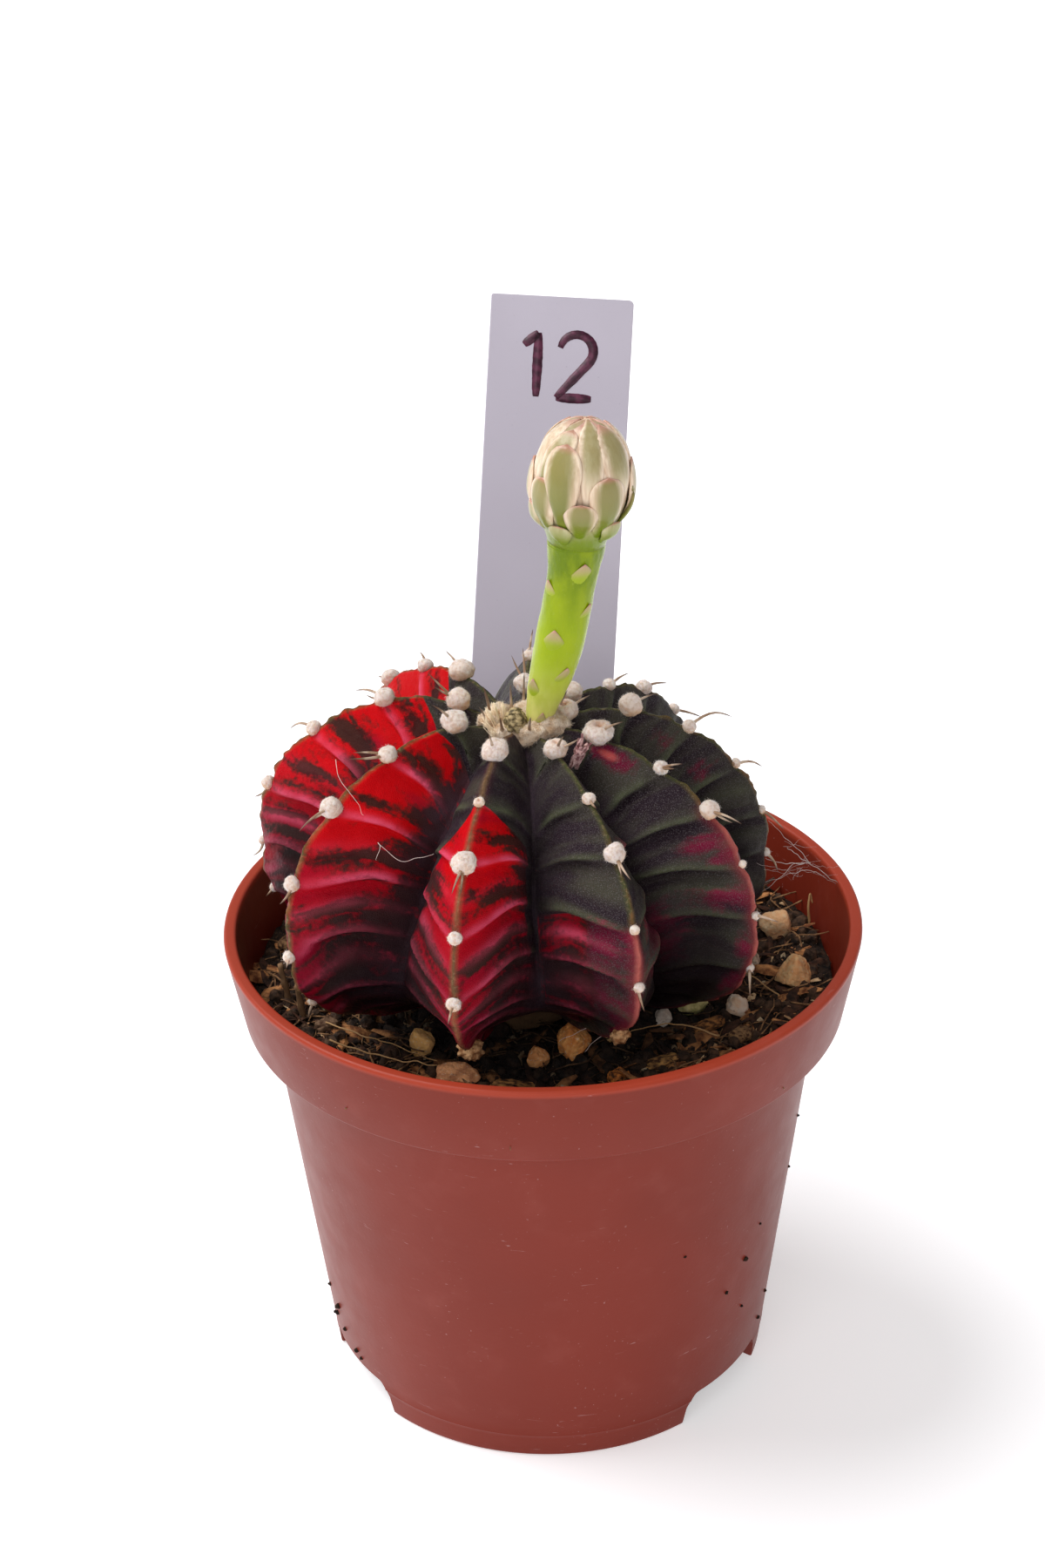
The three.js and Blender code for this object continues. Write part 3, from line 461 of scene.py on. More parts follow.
soil = make_piece("peat_soil", soil_points, soil_faces, soil_finish)
settle(soil, "soil", "soil")

# ---- The loose cover: crumbs, clods, grit dust, bark flakes and root fibres of the potting mix,
# which lie all over the soil, each kind spread from one small shape.

GRIT_COUNT = 15
BARK_COUNT = 8
LYING = [f"grit_{i + 1:02d}" for i in range(GRIT_COUNT)] + [f"bark_{i + 1:02d}" for i in range(BARK_COUNT)]
SPREAD_INNER = 9.0
SPREAD_OUTER = 31.0
SPREAD_ROUGHNESS = 0.6  # how much of the clods' height the ground under the loose stuff has
LOOSE_KINDS = [
    # name, shape, dark and light colour, per square millimetre, smallest, largest, lean, seed
    ("peat_crumbs", "crumb", (18, 12, 9), (56, 38, 28), 2.8, 0.4, 1.2, 180, 3),
    ("peat_clods", "clod", (26, 18, 13), (92, 66, 48), 0.24, 1.2, 2.8, 180, 5),
    ("bark_flakes", "flake", (104, 56, 30), (214, 148, 92), 0.13, 1.8, 7.0, 24, 8),
    ("dark_flakes", "flake", (28, 18, 13), (84, 52, 36), 0.36, 1.4, 5.2, 34, 9),
    ("pale_fibre_bits", "flake", (168, 120, 80), (240, 206, 160), 0.2, 0.8, 2.8, 40, 12),
    ("fine_grit", "crumb", (160, 132, 98), (224, 200, 164), 0.12, 0.5, 1.3, 180, 15),
    ("root_fibres", "fibre", (84, 56, 36), (172, 128, 88), 0.3, 2.4, 7.5, 20, 21),
    ("upright_fibres", "fibre", (70, 50, 34), (150, 114, 78), 0.05, 1.6, 3.4, 75, 26),
]


def ball(level):
    """A unit ball's points and faces."""
    shape = bmesh.new()
    bmesh.ops.create_icosphere(shape, subdivisions=level, radius=1)
    shape.verts.ensure_lookup_table()
    points = np.array([v.co[:] for v in shape.verts])
    faces = [[v.index for v in f.verts] for f in shape.faces]
    shape.free()
    return points, faces


def ring_across(centre, direction, radius, sides, squash=1.0):
    """A ring of points about a centre, in the plane across a direction."""
    turn = Vector(direction).to_track_quat("Z", "Y")
    angle = np.arange(sides) * 2 * math.pi / sides
    arms = [Vector((math.cos(a) * radius, math.sin(a) * radius * squash, 0)) for a in angle]
    return np.array([Vector(centre) + turn @ arm for arm in arms])


def limb(centres, radii, sides, squash=1.0):
    """Points and faces of a round closed limb along a line of centres."""
    centres = np.asarray(centres, dtype=float)
    rings = []
    for i, centre in enumerate(centres):
        direction = centres[min(i + 1, len(centres) - 1)] - centres[max(i - 1, 0)]
        rings.append(ring_across(centre, direction, max(radii[i], 1e-3), sides, squash))
    return skinned(np.array(rings), centres[0], centres[-1])


def gather(parts):
    """Several points-and-faces pairs as one."""
    points, faces, count = [], [], 0
    for part_points, part_faces in parts:
        points.append(part_points)
        faces.extend([i + count for i in face] for face in part_faces)
        count += len(part_points)
    return np.concatenate(points), faces


def loose_shape(kind):
    """One small shape of unit length, in metres: it is scaled where it is spread."""
    if kind in ("crumb", "clod"):
        points, faces = ball(1 if kind == "crumb" else 2)
        points = points * 0.5 * np.array([1, 0.8, 0.62])
        points *= 1 + 0.3 * np.array([[noise.noise(Vector(p) * 4)] for p in points])
        return points, faces
    if kind == "flake":
        centres = [(-0.5, 0.02, 0), (-0.2, -0.03, 0.05), (0.15, 0.03, 0.02), (0.5, -0.02, 0.06)]
        return limb(centres, [0.06, 0.15, 0.13, 0.04], 6, 0.3)
    centres = [(x - 0.5, 0.12 * math.sin(x * 5), 0.1 * math.sin(x * 3.1)) for x in np.linspace(0, 1, 7)]
    return limb(centres, [0.012, 0.016, 0.018, 0.017, 0.015, 0.012, 0.006], 4)


def scatter_tree():
    """Spreads copies of a template over a surface: turned and sized at random, then roughened."""
    tree = bpy.data.node_groups.new("scatter", "GeometryNodeTree")
    tree.interface.new_socket("Geometry", in_out="OUTPUT", socket_type="NodeSocketGeometry")
    inputs = {}
    for label, kind in [
        ("Geometry", "Geometry"), ("Template", "Object"), ("Material", "Material"),
        ("Density", "Float"), ("Smallest", "Float"), ("Largest", "Float"), ("Lean", "Float"),
        ("Seed", "Int"), ("Roughening", "Float"), ("Rough Size", "Float"),
    ]:
        socket = tree.interface.new_socket(label, in_out="INPUT", socket_type="NodeSocket" + kind)
        inputs[label] = socket.identifier
    add, link = tree.nodes.new, tree.links.new
    given = add("NodeGroupInput").outputs
    spread = add("GeometryNodeDistributePointsOnFaces")
    link(given["Geometry"], spread.inputs["Mesh"])
    link(given["Density"], spread.inputs["Density"])
    link(given["Seed"], spread.inputs["Seed"])
    template = add("GeometryNodeObjectInfo")
    link(given["Template"], template.inputs["Object"])
    size = add("FunctionNodeRandomValue")
    link(given["Smallest"], size.inputs[2])
    link(given["Largest"], size.inputs[3])
    link(given["Seed"], size.inputs["Seed"])
    lean_low = add("ShaderNodeCombineXYZ")
    lean_high = add("ShaderNodeCombineXYZ")
    negative = add("ShaderNodeMath")
    negative.operation = "MULTIPLY"
    negative.inputs[1].default_value = -1
    link(given["Lean"], negative.inputs[0])
    for axis in "XY":
        link(negative.outputs[0], lean_low.inputs[axis])
        link(given["Lean"], lean_high.inputs[axis])
    lean_high.inputs["Z"].default_value = 2 * math.pi
    turn = add("FunctionNodeRandomValue")
    turn.data_type = "FLOAT_VECTOR"
    link(lean_low.outputs[0], turn.inputs[0])
    link(lean_high.outputs[0], turn.inputs[1])
    link(given["Seed"], turn.inputs["Seed"])
    spin = add("FunctionNodeRotateRotation")
    spin.rotation_space = "LOCAL"
    link(spread.outputs["Rotation"], spin.inputs[0])
    link(turn.outputs[0], spin.inputs[1])
    stand = add("GeometryNodeInstanceOnPoints")
    link(spread.outputs["Points"], stand.inputs["Points"])
    link(template.outputs["Geometry"], stand.inputs["Instance"])
    link(spin.outputs[0], stand.inputs["Rotation"])
    link(size.outputs[1], stand.inputs["Scale"])
    real = add("GeometryNodeRealizeInstances")
    link(stand.outputs[0], real.inputs[0])
    texture = add("ShaderNodeTexNoise")
    link(given["Rough Size"], texture.inputs["Scale"])
    middle = add("ShaderNodeVectorMath")
    middle.operation = "SUBTRACT"
    middle.inputs[1].default_value = (0.5, 0.5, 0.5)
    link(texture.outputs["Color"], middle.inputs[0])
    push = add("ShaderNodeVectorMath")
    push.operation = "SCALE"
    link(middle.outputs[0], push.inputs[0])
    link(given["Roughening"], push.inputs["Scale"])
    shift = add("GeometryNodeSetPosition")
    link(real.outputs[0], shift.inputs["Geometry"])
    link(push.outputs[0], shift.inputs["Offset"])
    cover = add("GeometryNodeSetMaterial")
    link(shift.outputs[0], cover.inputs["Geometry"])
    link(given["Material"], cover.inputs["Material"])
    link(cover.outputs[0], add("NodeGroupOutput").inputs[0])
    return tree, inputs


SCATTER, SCATTER_INPUTS = scatter_tree()


def scattered(
        name, ground, template, finish, density, smallest, largest, lean, seed, roughening, rough_size):
    """A piece made of copies of a template (points, faces) spread over the ground mesh."""
    shape = make_piece(name + "_shape", np.asarray(template[0]) / MM, template[1], finish)
    piece = placed(name, ground.data.copy())
    modifier = piece.modifiers.new("scatter", "NODES")
    modifier.node_group = SCATTER
    values = {
        "Template": shape, "Material": finish.material, "Density": density / MM ** 2,
        "Smallest": smallest * MM, "Largest": largest * MM, "Lean": math.radians(lean),
        "Seed": seed, "Roughening": roughening * MM, "Rough Size": 1 / (rough_size * MM),
    }
    for label, value in values.items():
        modifier[SCATTER_INPUTS[label]] = value
    plain(piece)
    bpy.data.objects.remove(shape)
    return piece


def ground_ring(low, high):
    """An annular patch of the soil's top to spread things on; it isn't kept."""
    rings = np.array([turned([(r, 0)], 120)[0] for r in np.linspace(high, low, 30)])
    for ring in rings:
        lie = soil_height(ring[:, 0], ring[:, 1])
        ring[:, 2] = lie + SPREAD_ROUGHNESS * np.array([clods(x, y) for x, y, _ in ring])
    points, faces = skinned(rings, (0, 0, 0), (0, 0, 0))
    middles = np.array([points[f].mean(0) for f in faces])
    bare = np.array([len(f) == 4 for f in faces])
    for node in LYING:
        low, high = (np.array(corner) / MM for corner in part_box(node))
        inside = (np.abs(middles - (low + high) / 2)[:, :2] < (high - low)[:2] / 2 + 0.1).all(1)
        bare &= ~inside
    return make_piece("ground", points, [f for f, keep in zip(faces, bare) if keep], soil_finish)


ground = ground_ring(SPREAD_INNER, SPREAD_OUTER)
for name, kind, dark, light, density, smallest, largest, lean, seed in LOOSE_KINDS:
    finish = Finish(name, 0.85, 0.3)
    tint = finish.blend(finish.grain(0.9, 4), 0.3, 0.7, dark, light)
    # Each kind darkens close round the plant too: painted shade.
    finish.colour(shaded_round_plant(finish, tint))
    finish.relief(finish.grain(0.25, 3), 0.1)
    thin = kind == "fibre"
    piece = scattered(
        name, ground, loose_shape(kind), finish, density, smallest, largest, lean, seed,
        roughening=0.9 if thin else 0.25, rough_size=2.5 if thin else 0.6)
    if not thin:
        piece.data.shade_flat()
    settle(piece, "bark" if "bark" in name else "soil")
bpy.data.objects.remove(ground)

# ---- The stem: one squat green and red body of nine deep ribs, with cross ridges down each flank,
# that grows on its own root. Its crests are corky and its skin has a fine grain.

STEM_X = -3.0
STEM_Y = -2.0
STEM_Z = 63.8
STEM_RADIUS = 27.9
STEM_DROP = 15.5
ROUNDNESS = 0.86
HEIGHT_POWER = 0.95
UNDERSIDE_POWER = (0.6, 0.82)
UNDERSIDE_ROUNDNESS = (0.9, 1.34)
UNDERCUT = (1.0, 0.7, 0.25, 0.3, 0.5, 0.5, 0.5, 0.35, 0.15)
CROWN_RISE = 18.8
CROWN_SHIFT = 1.0
CROWN_DENT = 3.0
CROWN_DENT_RADIUS = 7.0
CROWN_FROM = 68  # degrees above the widest place where the ribs begin to share one height
FURROW_SHARE = 0.57
FURROW_OPENING = 0.2
FURROW_Z = 57.0
FURROW_HEIGHT_SHARE = 0.68
FLANK_SWELL = 0.055
CREST_SCALLOP = 0.5
CREST_HALF = 0.3
RIDGE_RELIEF = 0.74
RIDGE_BOW = math.radians(4)
RIDGE_LIFT = 0.13
RIDGE_LIFT_GROWTH = (0.12, 0.07, 0.07, 0.07, 0.07, 0.08, 0.1, 0.1, 0.12)
MINOR_FOLD = 0.14
CREASE = 0.17  # where the crease lies, as a share of the way from one ridge to the next
CREST_WIDTH = 0.0125
PINK_WIDTH = 0.06
FRONT_RELIEF = 0.6
BELOW_AREOLES = (-62, -82)
STEM_ROWS = 210
FLANK_COLUMNS = 22
# Each rib: azimuth, reach, rise, the angles of its areoles above the widest place, the width of
# their wool, and how far down from the crown its red begins (9 is nowhere).
RIBS = [
    (-102, 1.05, 19.4, (70, 55, 38, 18, -0.6, -12.6, -40), (3.1, 1.3, 2.9, 1.6, 1.7), 1.0),
    (-64, 1.0, 16.8, (76, 58, 40, 16, -1.8, -26, -46), (2.9, 1.6, 2.5, 1.2, 1.3), 9),
    (-32, 1.04, 17.5, (74, 57, 40, 21, 3, -11.3, -38), (3.6, 1.9, 2.4, 1.0, 1.1, 1.1), 9),
    (2, 0.97, 18.4, (82, 68, 51, 32, 13, -0.6, -19), (3.1, 3.0, 1.8, 1.3, 1.1, 1.1), 9),
    (42, 0.97, 17.2, (77, 64, 49, 30, 12, -1.8, -22), (2.8, 1.7, 2.1, 1.6, 1.3, 1.2), 9),
    (84, 1.0, 18.6, (80, 64, 46, 27, 9, -5, -28), (2.7, 1.8, 2.3, 1.5, 1.5, 1.2), 9),
    (125, 1.03, 18.6, (72, 57, 38, 18, 0, -15.6, -42), (3.1, 2.0, 2.4, 1.7, 1.4, 1.2), 0.3),
    (168, 1.0, 19.4, (79, 63, 42, 18, -0.6, -15.6, -42), (3.1, 2.6, 2.0, 1.8, 1.1, 1.3), 0.45),
    (214, 1.0, 19.4, (76, 59, 40, 16, -3.3, -24, -44), (3.2, 2.3, 2.7, 2.0, 1.6, 1.2), 0.25),
]
RIB_A, RIB_I, RIB_H, RIB_G, RIB_F, RIB_E, RIB_D, RIB_C, RIB_B = range(9)


def rib_angle(rib, step):
    """The angle above the widest place, at a number of areoles down a rib."""
    stops = (90, *RIBS[rib][3], *BELOW_AREOLES)
    return np.radians(np.interp(step, np.arange(-1, len(stops) - 1), stops))


def crest_line(rise, reach, undercut, angle):
    """Radius and height of a rib's crest at an angle above the widest place."""
    up = np.sin(angle)
    full, hollow = UNDERSIDE_ROUNDNESS
    roundness = ROUNDNESS + (full + (hollow - full) * undercut - ROUNDNESS) * smooth(0.1, -0.5, up)
    full, hollow = UNDERSIDE_POWER
    power = full + (hollow - full) * undercut
    r = STEM_RADIUS * reach * np.clip(np.cos(angle), 0, 1) ** roundness
    top = rise + (CROWN_RISE - rise) * smooth(math.radians(CROWN_FROM), math.radians(90), angle)
    high = top * np.abs(up) ** HEIGHT_POWER - CROWN_DENT * np.exp(-((r / CROWN_DENT_RADIUS) ** 2))
    return r, STEM_Z + np.where(up < 0, -STEM_DROP * np.abs(up) ** power, high)


def ridge_wave(step):
    """Relief down a flank: a ridge at each areole, a crease right under it, then a slow swelling."""
    way = step - np.floor(step)
    drop = 1 - 1.66 * smooth(0, CREASE, way)
    climb = -0.66 + 1.66 * ((np.maximum(way, CREASE) - CREASE) / (1 - CREASE)) ** 1.55
    wave = np.where(way < CREASE, drop, climb)
    return wave * smooth(-0.9, -0.1, step) * (1 - smooth(6.1, 6.9, step))


def along_ridges(rib, step, share):
    """The step again, but constant along each ridge: they climb a little from crest to furrow."""
    climb = RIDGE_LIFT + RIDGE_LIFT_GROWTH[rib] * np.clip(step - 1, 0, 3)
    return step + climb * smooth(0, 0.6, share) * smooth(0, 0.8, step)


def stem_points(rib, side, step, share):
    """Points of one flank: step counts areoles down the rib, share goes from crest to furrow."""
    azimuth, reach, rise = RIBS[rib][:3]
    other = (rib + side) % len(RIBS)
    other_azimuth, other_reach, other_rise = RIBS[other][:3]
    half_gap = math.radians(((other_azimuth - azimuth) * side) % 360) / 2
    mix = share ** 2 * 0.5
    arch = np.sin(math.pi * share)
    bow = RIDGE_BOW * arch * (1 - 0.75 * smooth(0, 4, 4 - step)) * ((step > 0) & (step < 7))
    angle = rib_angle(rib, step) * (1 - mix) + rib_angle(other, step) * mix + bow
    undercut = UNDERCUT[rib] + (UNDERCUT[other] - UNDERCUT[rib]) * mix
    crest_r, crest_z = crest_line(
        rise + (other_rise - rise) * mix, reach + (other_reach - reach) * mix, undercut, angle)
    degrees = np.degrees(angle)
    below = np.clip((-degrees - 40) / 50, 0, 1) ** 2
    narrow = np.maximum(np.clip((degrees - 25) / 65, 0, 1) ** 1.3, below)
    low = np.maximum(np.clip((degrees - 50) / 40, 0, 1) ** 1.5, below)
    furrow_share = FURROW_SHARE + FURROW_OPENING * smooth(35, -25, degrees)
    furrow_r = crest_r * (furrow_share + (1 - furrow_share) * narrow)
    furrow_lift = FURROW_HEIGHT_SHARE + (1 - FURROW_HEIGHT_SHARE) * low
    furrow_z = FURROW_Z + (crest_z - FURROW_Z) * furrow_lift
    upper = np.clip(np.cos(angle) * 1.4, 0, 1)
    way = step - np.floor(step)
    hollow = smooth(8, -35, degrees) * (0.3 + 0.7 * undercut)
    swell = crest_r * FLANK_SWELL * arch * upper * (1 - 2.4 * hollow)
    scallop = CREST_SCALLOP * np.sin(math.pi * way) * (1 - share) ** 2 * upper
    ridge_step = along_ridges(rib, step, share)
    depth = RIDGE_RELIEF * (FRONT_RELIEF if rib == RIB_A else 1)
    relief = depth * ridge_wave(ridge_step) * arch ** 0.7 * (1 - 0.45 * smooth(0.45, 0.9, share))
    relief = relief * upper * (1 - 0.5 * hollow)
    relief += MINOR_FOLD * np.cos(4 * math.pi * ridge_step) * arch ** 1.5 * smooth(1.5, 3.5, step) * upper
    edge = np.minimum(CREST_HALF, crest_r * 0.06) * smooth(0, 0.035, share) ** 0.5
    run_x = math.cos(half_gap) * furrow_r - crest_r
    run_y = math.sin(half_gap) * furrow_r - edge
    length = np.hypot(run_x, run_y)
    x = crest_r + run_x * share + run_y / length * (swell + relief) + scallop * np.cos(angle)
    y = (edge + run_y * share - run_x / length * (swell + relief)) * side
    turn = math.radians(azimuth)
    shift = CROWN_SHIFT * np.clip(np.sin(angle), 0, 1) ** 3
    z = crest_z + (furrow_z - crest_z) * share + scallop * np.sin(angle)
    return np.stack([
        STEM_X + shift + x * math.cos(turn) - y * math.sin(turn),
        STEM_Y + x * math.sin(turn) + y * math.cos(turn), z], -1)


# Dark blotches on the red flanks that show best: rib, side, step, share, half step, half share.
BLOTCHES = [
    (RIB_D, 1, 0.62, 0.3, 0.12, 0.3), (RIB_C, 1, 0.75, 0.3, 0.14, 0.36),
    (RIB_C, 1, 1.62, 0.26, 0.14, 0.26), (RIB_C, 1, 2.0, 0.55, 0.25, 0.14),
    (RIB_C, 1, 2.55, 0.28, 0.1, 0.2), (RIB_C, 1, 3.4, 0.34, 0.11, 0.26),
    (RIB_C, 1, 3.95, 0.35, 0.07, 0.08), (RIB_C, 1, 4.6, 0.3, 0.1, 0.2),
    (RIB_B, -1, 1.45, 0.1, 0.16, 0.14), (RIB_B, 1, 0.8, 0.34, 0.14, 0.3),
    (RIB_B, 1, 0.12, 0.5, 0.14, 0.5), (RIB_B, 1, 1.7, 0.22, 0.08, 0.2),
    (RIB_B, 1, 1.55, 0.74, 0.26, 0.2), (RIB_B, 1, 2.66, 0.3, 0.1, 0.34),
    (RIB_B, 1, 2.62, 0.74, 0.3, 0.2), (RIB_B, 1, 3.05, 0.55, 0.07, 0.14),
    (RIB_B, 1, 3.55, 0.36, 0.1, 0.24), (RIB_B, 1, 3.95, 0.72, 0.25, 0.18),
    (RIB_B, 1, 4.6, 0.2, 0.1, 0.2), (RIB_B, 1, 5.1, 0.45, 0.16, 0.3), (RIB_B, 1, 5.8, 0.3, 0.2, 0.3),
    (RIB_A, 1, 1.6, 0.24, 0.1, 0.26), (RIB_A, 1, 1.5, 0.6, 0.16, 0.2),
    (RIB_A, 1, 2.62, 0.34, 0.16, 0.16), (RIB_A, 1, 2.45, 0.1, 0.07, 0.05),
    (RIB_A, 1, 3.6, 0.2, 0.11, 0.14), (RIB_A, 1, 4.6, 0.3, 0.14, 0.2),
    (RIB_A, -1, 1.6, 0.45, 0.12, 0.25), (RIB_A, -1, 2.6, 0.45, 0.13, 0.25),
    (RIB_A, -1, 3.6, 0.35, 0.12, 0.25), (RIB_I, -1, 3.2, 0.17, 0.24, 0.24),
    (RIB_I, -1, 4.25, 0.22, 0.24, 0.26), (RIB_I, -1, 5.1, 0.3, 0.26, 0.3),
]
# Red and magenta flushes on the dark flanks: the same, and how strong they are.
FLUSHES = [
    (RIB_H, -1, 2.5, 0.2, 0.2, 0.2, 0.72), (RIB_H, -1, 2.8, 0.08, 0.14, 0.1, 0.72),
    (RIB_H, -1, 3.55, 0.16, 0.22, 0.2, 0.7), (RIB_H, -1, 3.5, 0.56, 0.3, 0.3, 0.35),
    (RIB_H, -1, 3.95, 0.78, 0.6, 0.25, 0.72), (RIB_I, 1, 3.7, 0.6, 0.9, 0.35, 0.7),
    (RIB_I, -1, 3.4, 0.3, 0.5, 0.4, 0.72), (RIB_I, -1, 4.3, 0.28, 0.6, 0.35, 0.66),
    (RIB_H, -1, 4.5, 0.1, 0.17, 0.09, 0.72), (RIB_H, -1, 5.3, 0.15, 0.3, 0.14, 0.7),
    (RIB_G, -1, 2.6, 0.3, 0.18, 0.16, 0.5), (RIB_G, -1, 1.7, 0.2, 0.2, 0.16, 0.5),
    (RIB_H, -1, 0.3, 0.2, 0.34, 0.16, 0.98), (RIB_I, 1, 1.85, 0.3, 0.25, 0.2, 0.5),
    (RIB_I, -1, 5.0, 0.06, 0.4, 0.08, 0.72), (RIB_F, -1, 3.4, 0.3, 0.3, 0.2, 0.5),
    (RIB_E, 1, 2.6, 0.3, 0.3, 0.2, 0.6), (RIB_E, 1, 4.0, 0.5, 0.5, 0.3, 0.7),
    (RIB_F, 1, 4.4, 0.4, 0.4, 0.3, 0.6), (RIB_G, 1, 3.5, 0.3, 0.3, 0.2, 0.5),
]


def spot(step, share, middle_step, middle_share, half_step, half_share):
    """1 in the middle of a soft spot, about a half on its edge, and 0 well outside."""
    away = ((step - middle_step) / half_step) ** 2 + ((share - middle_share) / half_share) ** 2
    return np.exp(-0.7 * away)


def blotch_and_shade_share(rib, side, step, share):
    """How dark a red flank is: its blotches, a dark band above each ridge, and painted shade down in its
    furrow and towards its foot. Unseen flanks go by rule.
    """
    way = step - np.floor(step)
    above_ridge = np.exp(-(((way - 0.76) / 0.2) ** 2))
    dark = above_ridge * (0.14 + 0.42 * smooth(0.1, 0.5, share) + 0.36 * smooth(1.8, 3.2, step))
    # Lower down the rib the red flank darkens: painted shade.
    dark = np.maximum(dark, smooth(2.7, 4.3, step) * (0.3 + 0.62 * smooth(0.1, 0.5, share)))
    for at_rib, at_side, *place in BLOTCHES:
        if (at_rib, at_side) == (rib, side):
            dark = np.maximum(dark, spot(step, share, *place[:2], place[2] * 1.3, place[3] * 1.2))
    if not any(place[:2] == (rib, side) for place in BLOTCHES):
        draw = np.random.default_rng(60 + rib * 2 + side)
        for middle in np.arange(0.55, 6.5, 0.48):
            place = (middle + draw.uniform(-0.1, 0.1), draw.uniform(0.1, 0.65),
                     draw.uniform(0.09, 0.18), draw.uniform(0.14, 0.34))
            dark = np.maximum(dark, spot(step, share, *place))
    # Down in the furrow the red flank darkens: painted shade.
    valley = 0.95 * smooth(0.42, 0.8, share)
    if (rib, side) in ((RIB_A, 1), (RIB_I, -1)):
        valley *= 1 - 0.85 * smooth(2.9, 3.6, step)
    return np.maximum(dark, valley)


def shade_share(rib, side, step, share):
    """How much the skin darkens towards its foot and down in the furrows, where no light comes."""
    foot = smooth(2.0, 5.0, step) * (0.22 + 0.78 * smooth(0.0, 0.45, share))
    furrow = 0.6 * smooth(0.5, 1.0, share) * smooth(0.6, 2.0, step)
    if (rib, side) in ((RIB_A, 1), (RIB_I, -1)):
        furrow *= 1 - 0.5 * smooth(2.9, 3.6, step)
        foot *= 0.85
    return np.maximum(foot, furrow)


def red_share(rib, side, step, share):
    """Where the skin is red: whole ribs on the left, and the foot of the one in front on the right."""
    slant = {(RIB_A, -1): -2.0, (RIB_A, 1): -0.45}.get((rib, side), 0.12)
    red = smooth(RIBS[rib][5] - 0.06, RIBS[rib][5] + 0.06, step + slant * share)
    if rib == RIB_I:
        red = smooth(2.84, 2.94, step) * (0.25 + 0.75 * smooth(0.25, 0.6, share) if side < 0 else 0.4)
    if rib == RIB_H and side < 0:
        red = 0.42 * smooth(3.0, 3.8, step) * smooth(0.6, 1.0, share)
    if rib == RIB_A and side > 0:
        red = red * (1 - smooth(0.72, 0.86, share) * (1 - smooth(3.2, 4.2, step)))
    return red


def flush_share(rib, side, step, share):
    """How strongly a dark flank is flushed with red."""
    flush = np.zeros_like(step)
    for at_rib, at_side, *place, strength in FLUSHES:
        if (at_rib, at_side) == (rib, side):
            flush = np.maximum(flush, strength * spot(step, share, *place))
    return flush


def pink_crest(rib, step, share):
    """The crest lines of the dark ribs are pink below their second areole."""
    none = 0 * step
    pink = {RIB_H: smooth(1.7, 2.1, step), RIB_I: smooth(2.9, 3.1, step), RIB_A: none + 0.2}
    return pink.get(rib, none) * np.exp(-((share / PINK_WIDTH) ** 2))


skin_rows = np.linspace(-0.96, 8, STEM_ROWS)
shares = np.linspace(0, 1, FLANK_COLUMNS + 1) ** 1.5
columns = {key: [] for key in (
    "points", "flow", "crest", "ridge", "crease", "red", "flush", "furrow", "blotch", "pink", "shade")}
for rib in range(len(RIBS)):
    for side, part in ((-1, shares[-2:0:-1]), (1, shares)):
        step, share = np.meshgrid(skin_rows, part, indexing="ij")
        ridge_step = along_ridges(rib, step, share)
        way = ridge_step - np.floor(ridge_step)
        on_flank = np.sin(math.pi * share) ** 0.5 * smooth(-0.5, 0, step) * (1 - smooth(6.0, 6.8, step))
        ridge = np.exp(-((np.where(way > 0.5, (1 - way) / 0.08, way / 0.045)) ** 2))
        minor = 0.6 * np.exp(-(((way - 0.5) / 0.1) ** 2)) * smooth(2.0, 3.2, step)
        columns["points"].append(stem_points(rib, side, step, share))
        apart = np.full_like(step, rib * 3.7 + side)
        columns["flow"].append(np.stack([share * side, ridge_step, apart], -1))
        columns["crest"].append(np.exp(-((share / CREST_WIDTH) ** 2)))
        columns["ridge"].append(np.maximum(ridge, minor) * on_flank)
        columns["crease"].append(np.exp(-(((way - CREASE) / 0.1) ** 2)) * on_flank)
        columns["red"].append(red_share(rib, side, step, share))
        columns["flush"].append(flush_share(rib, side, step, share))
        columns["furrow"].append(share ** 3)
        columns["blotch"].append(blotch_and_shade_share(rib, side, ridge_step, share))
        columns["shade"].append(shade_share(rib, side, step, share))
        columns["pink"].append(pink_crest(rib, step, share))
skin = {key: np.concatenate(value, 1)[::-1] for key, value in columns.items()}
stem_foot = (STEM_X, STEM_Y, STEM_Z - STEM_DROP)
stem_dent = (STEM_X + CROWN_SHIFT, STEM_Y, STEM_Z + CROWN_RISE - CROWN_DENT)
rings = skin.pop("points")
for row in rings:
    for point in row:
        place = Vector(point)
        out = Vector((point[0] - STEM_X, point[1] - STEM_Y, (point[2] - STEM_Z) * 0.6)).normalized()
        uneven = 0.16 * noise.fractal(place * 0.35, 0.8, 2, 3) + 0.05 * noise.noise(place * 1.6)
        point += np.array(out) * uneven
crest_bumps = np.array([[noise.noise(Vector(p) * 1.1) for p in row] for row in rings])
outward = rings - np.array((STEM_X, STEM_Y, STEM_Z - 6))
rings = rings + outward / np.linalg.norm(outward, axis=2, keepdims=True) * (
    skin["crest"] * 0.35 * crest_bumps)[..., None]
skin_points, skin_faces = skinned(rings, stem_foot, stem_dent)
ends = {key: np.concatenate([value.reshape(-1, *value.shape[2:]), value[:1, 0], value[-1:, 0]])
        for key, value in skin.items()}


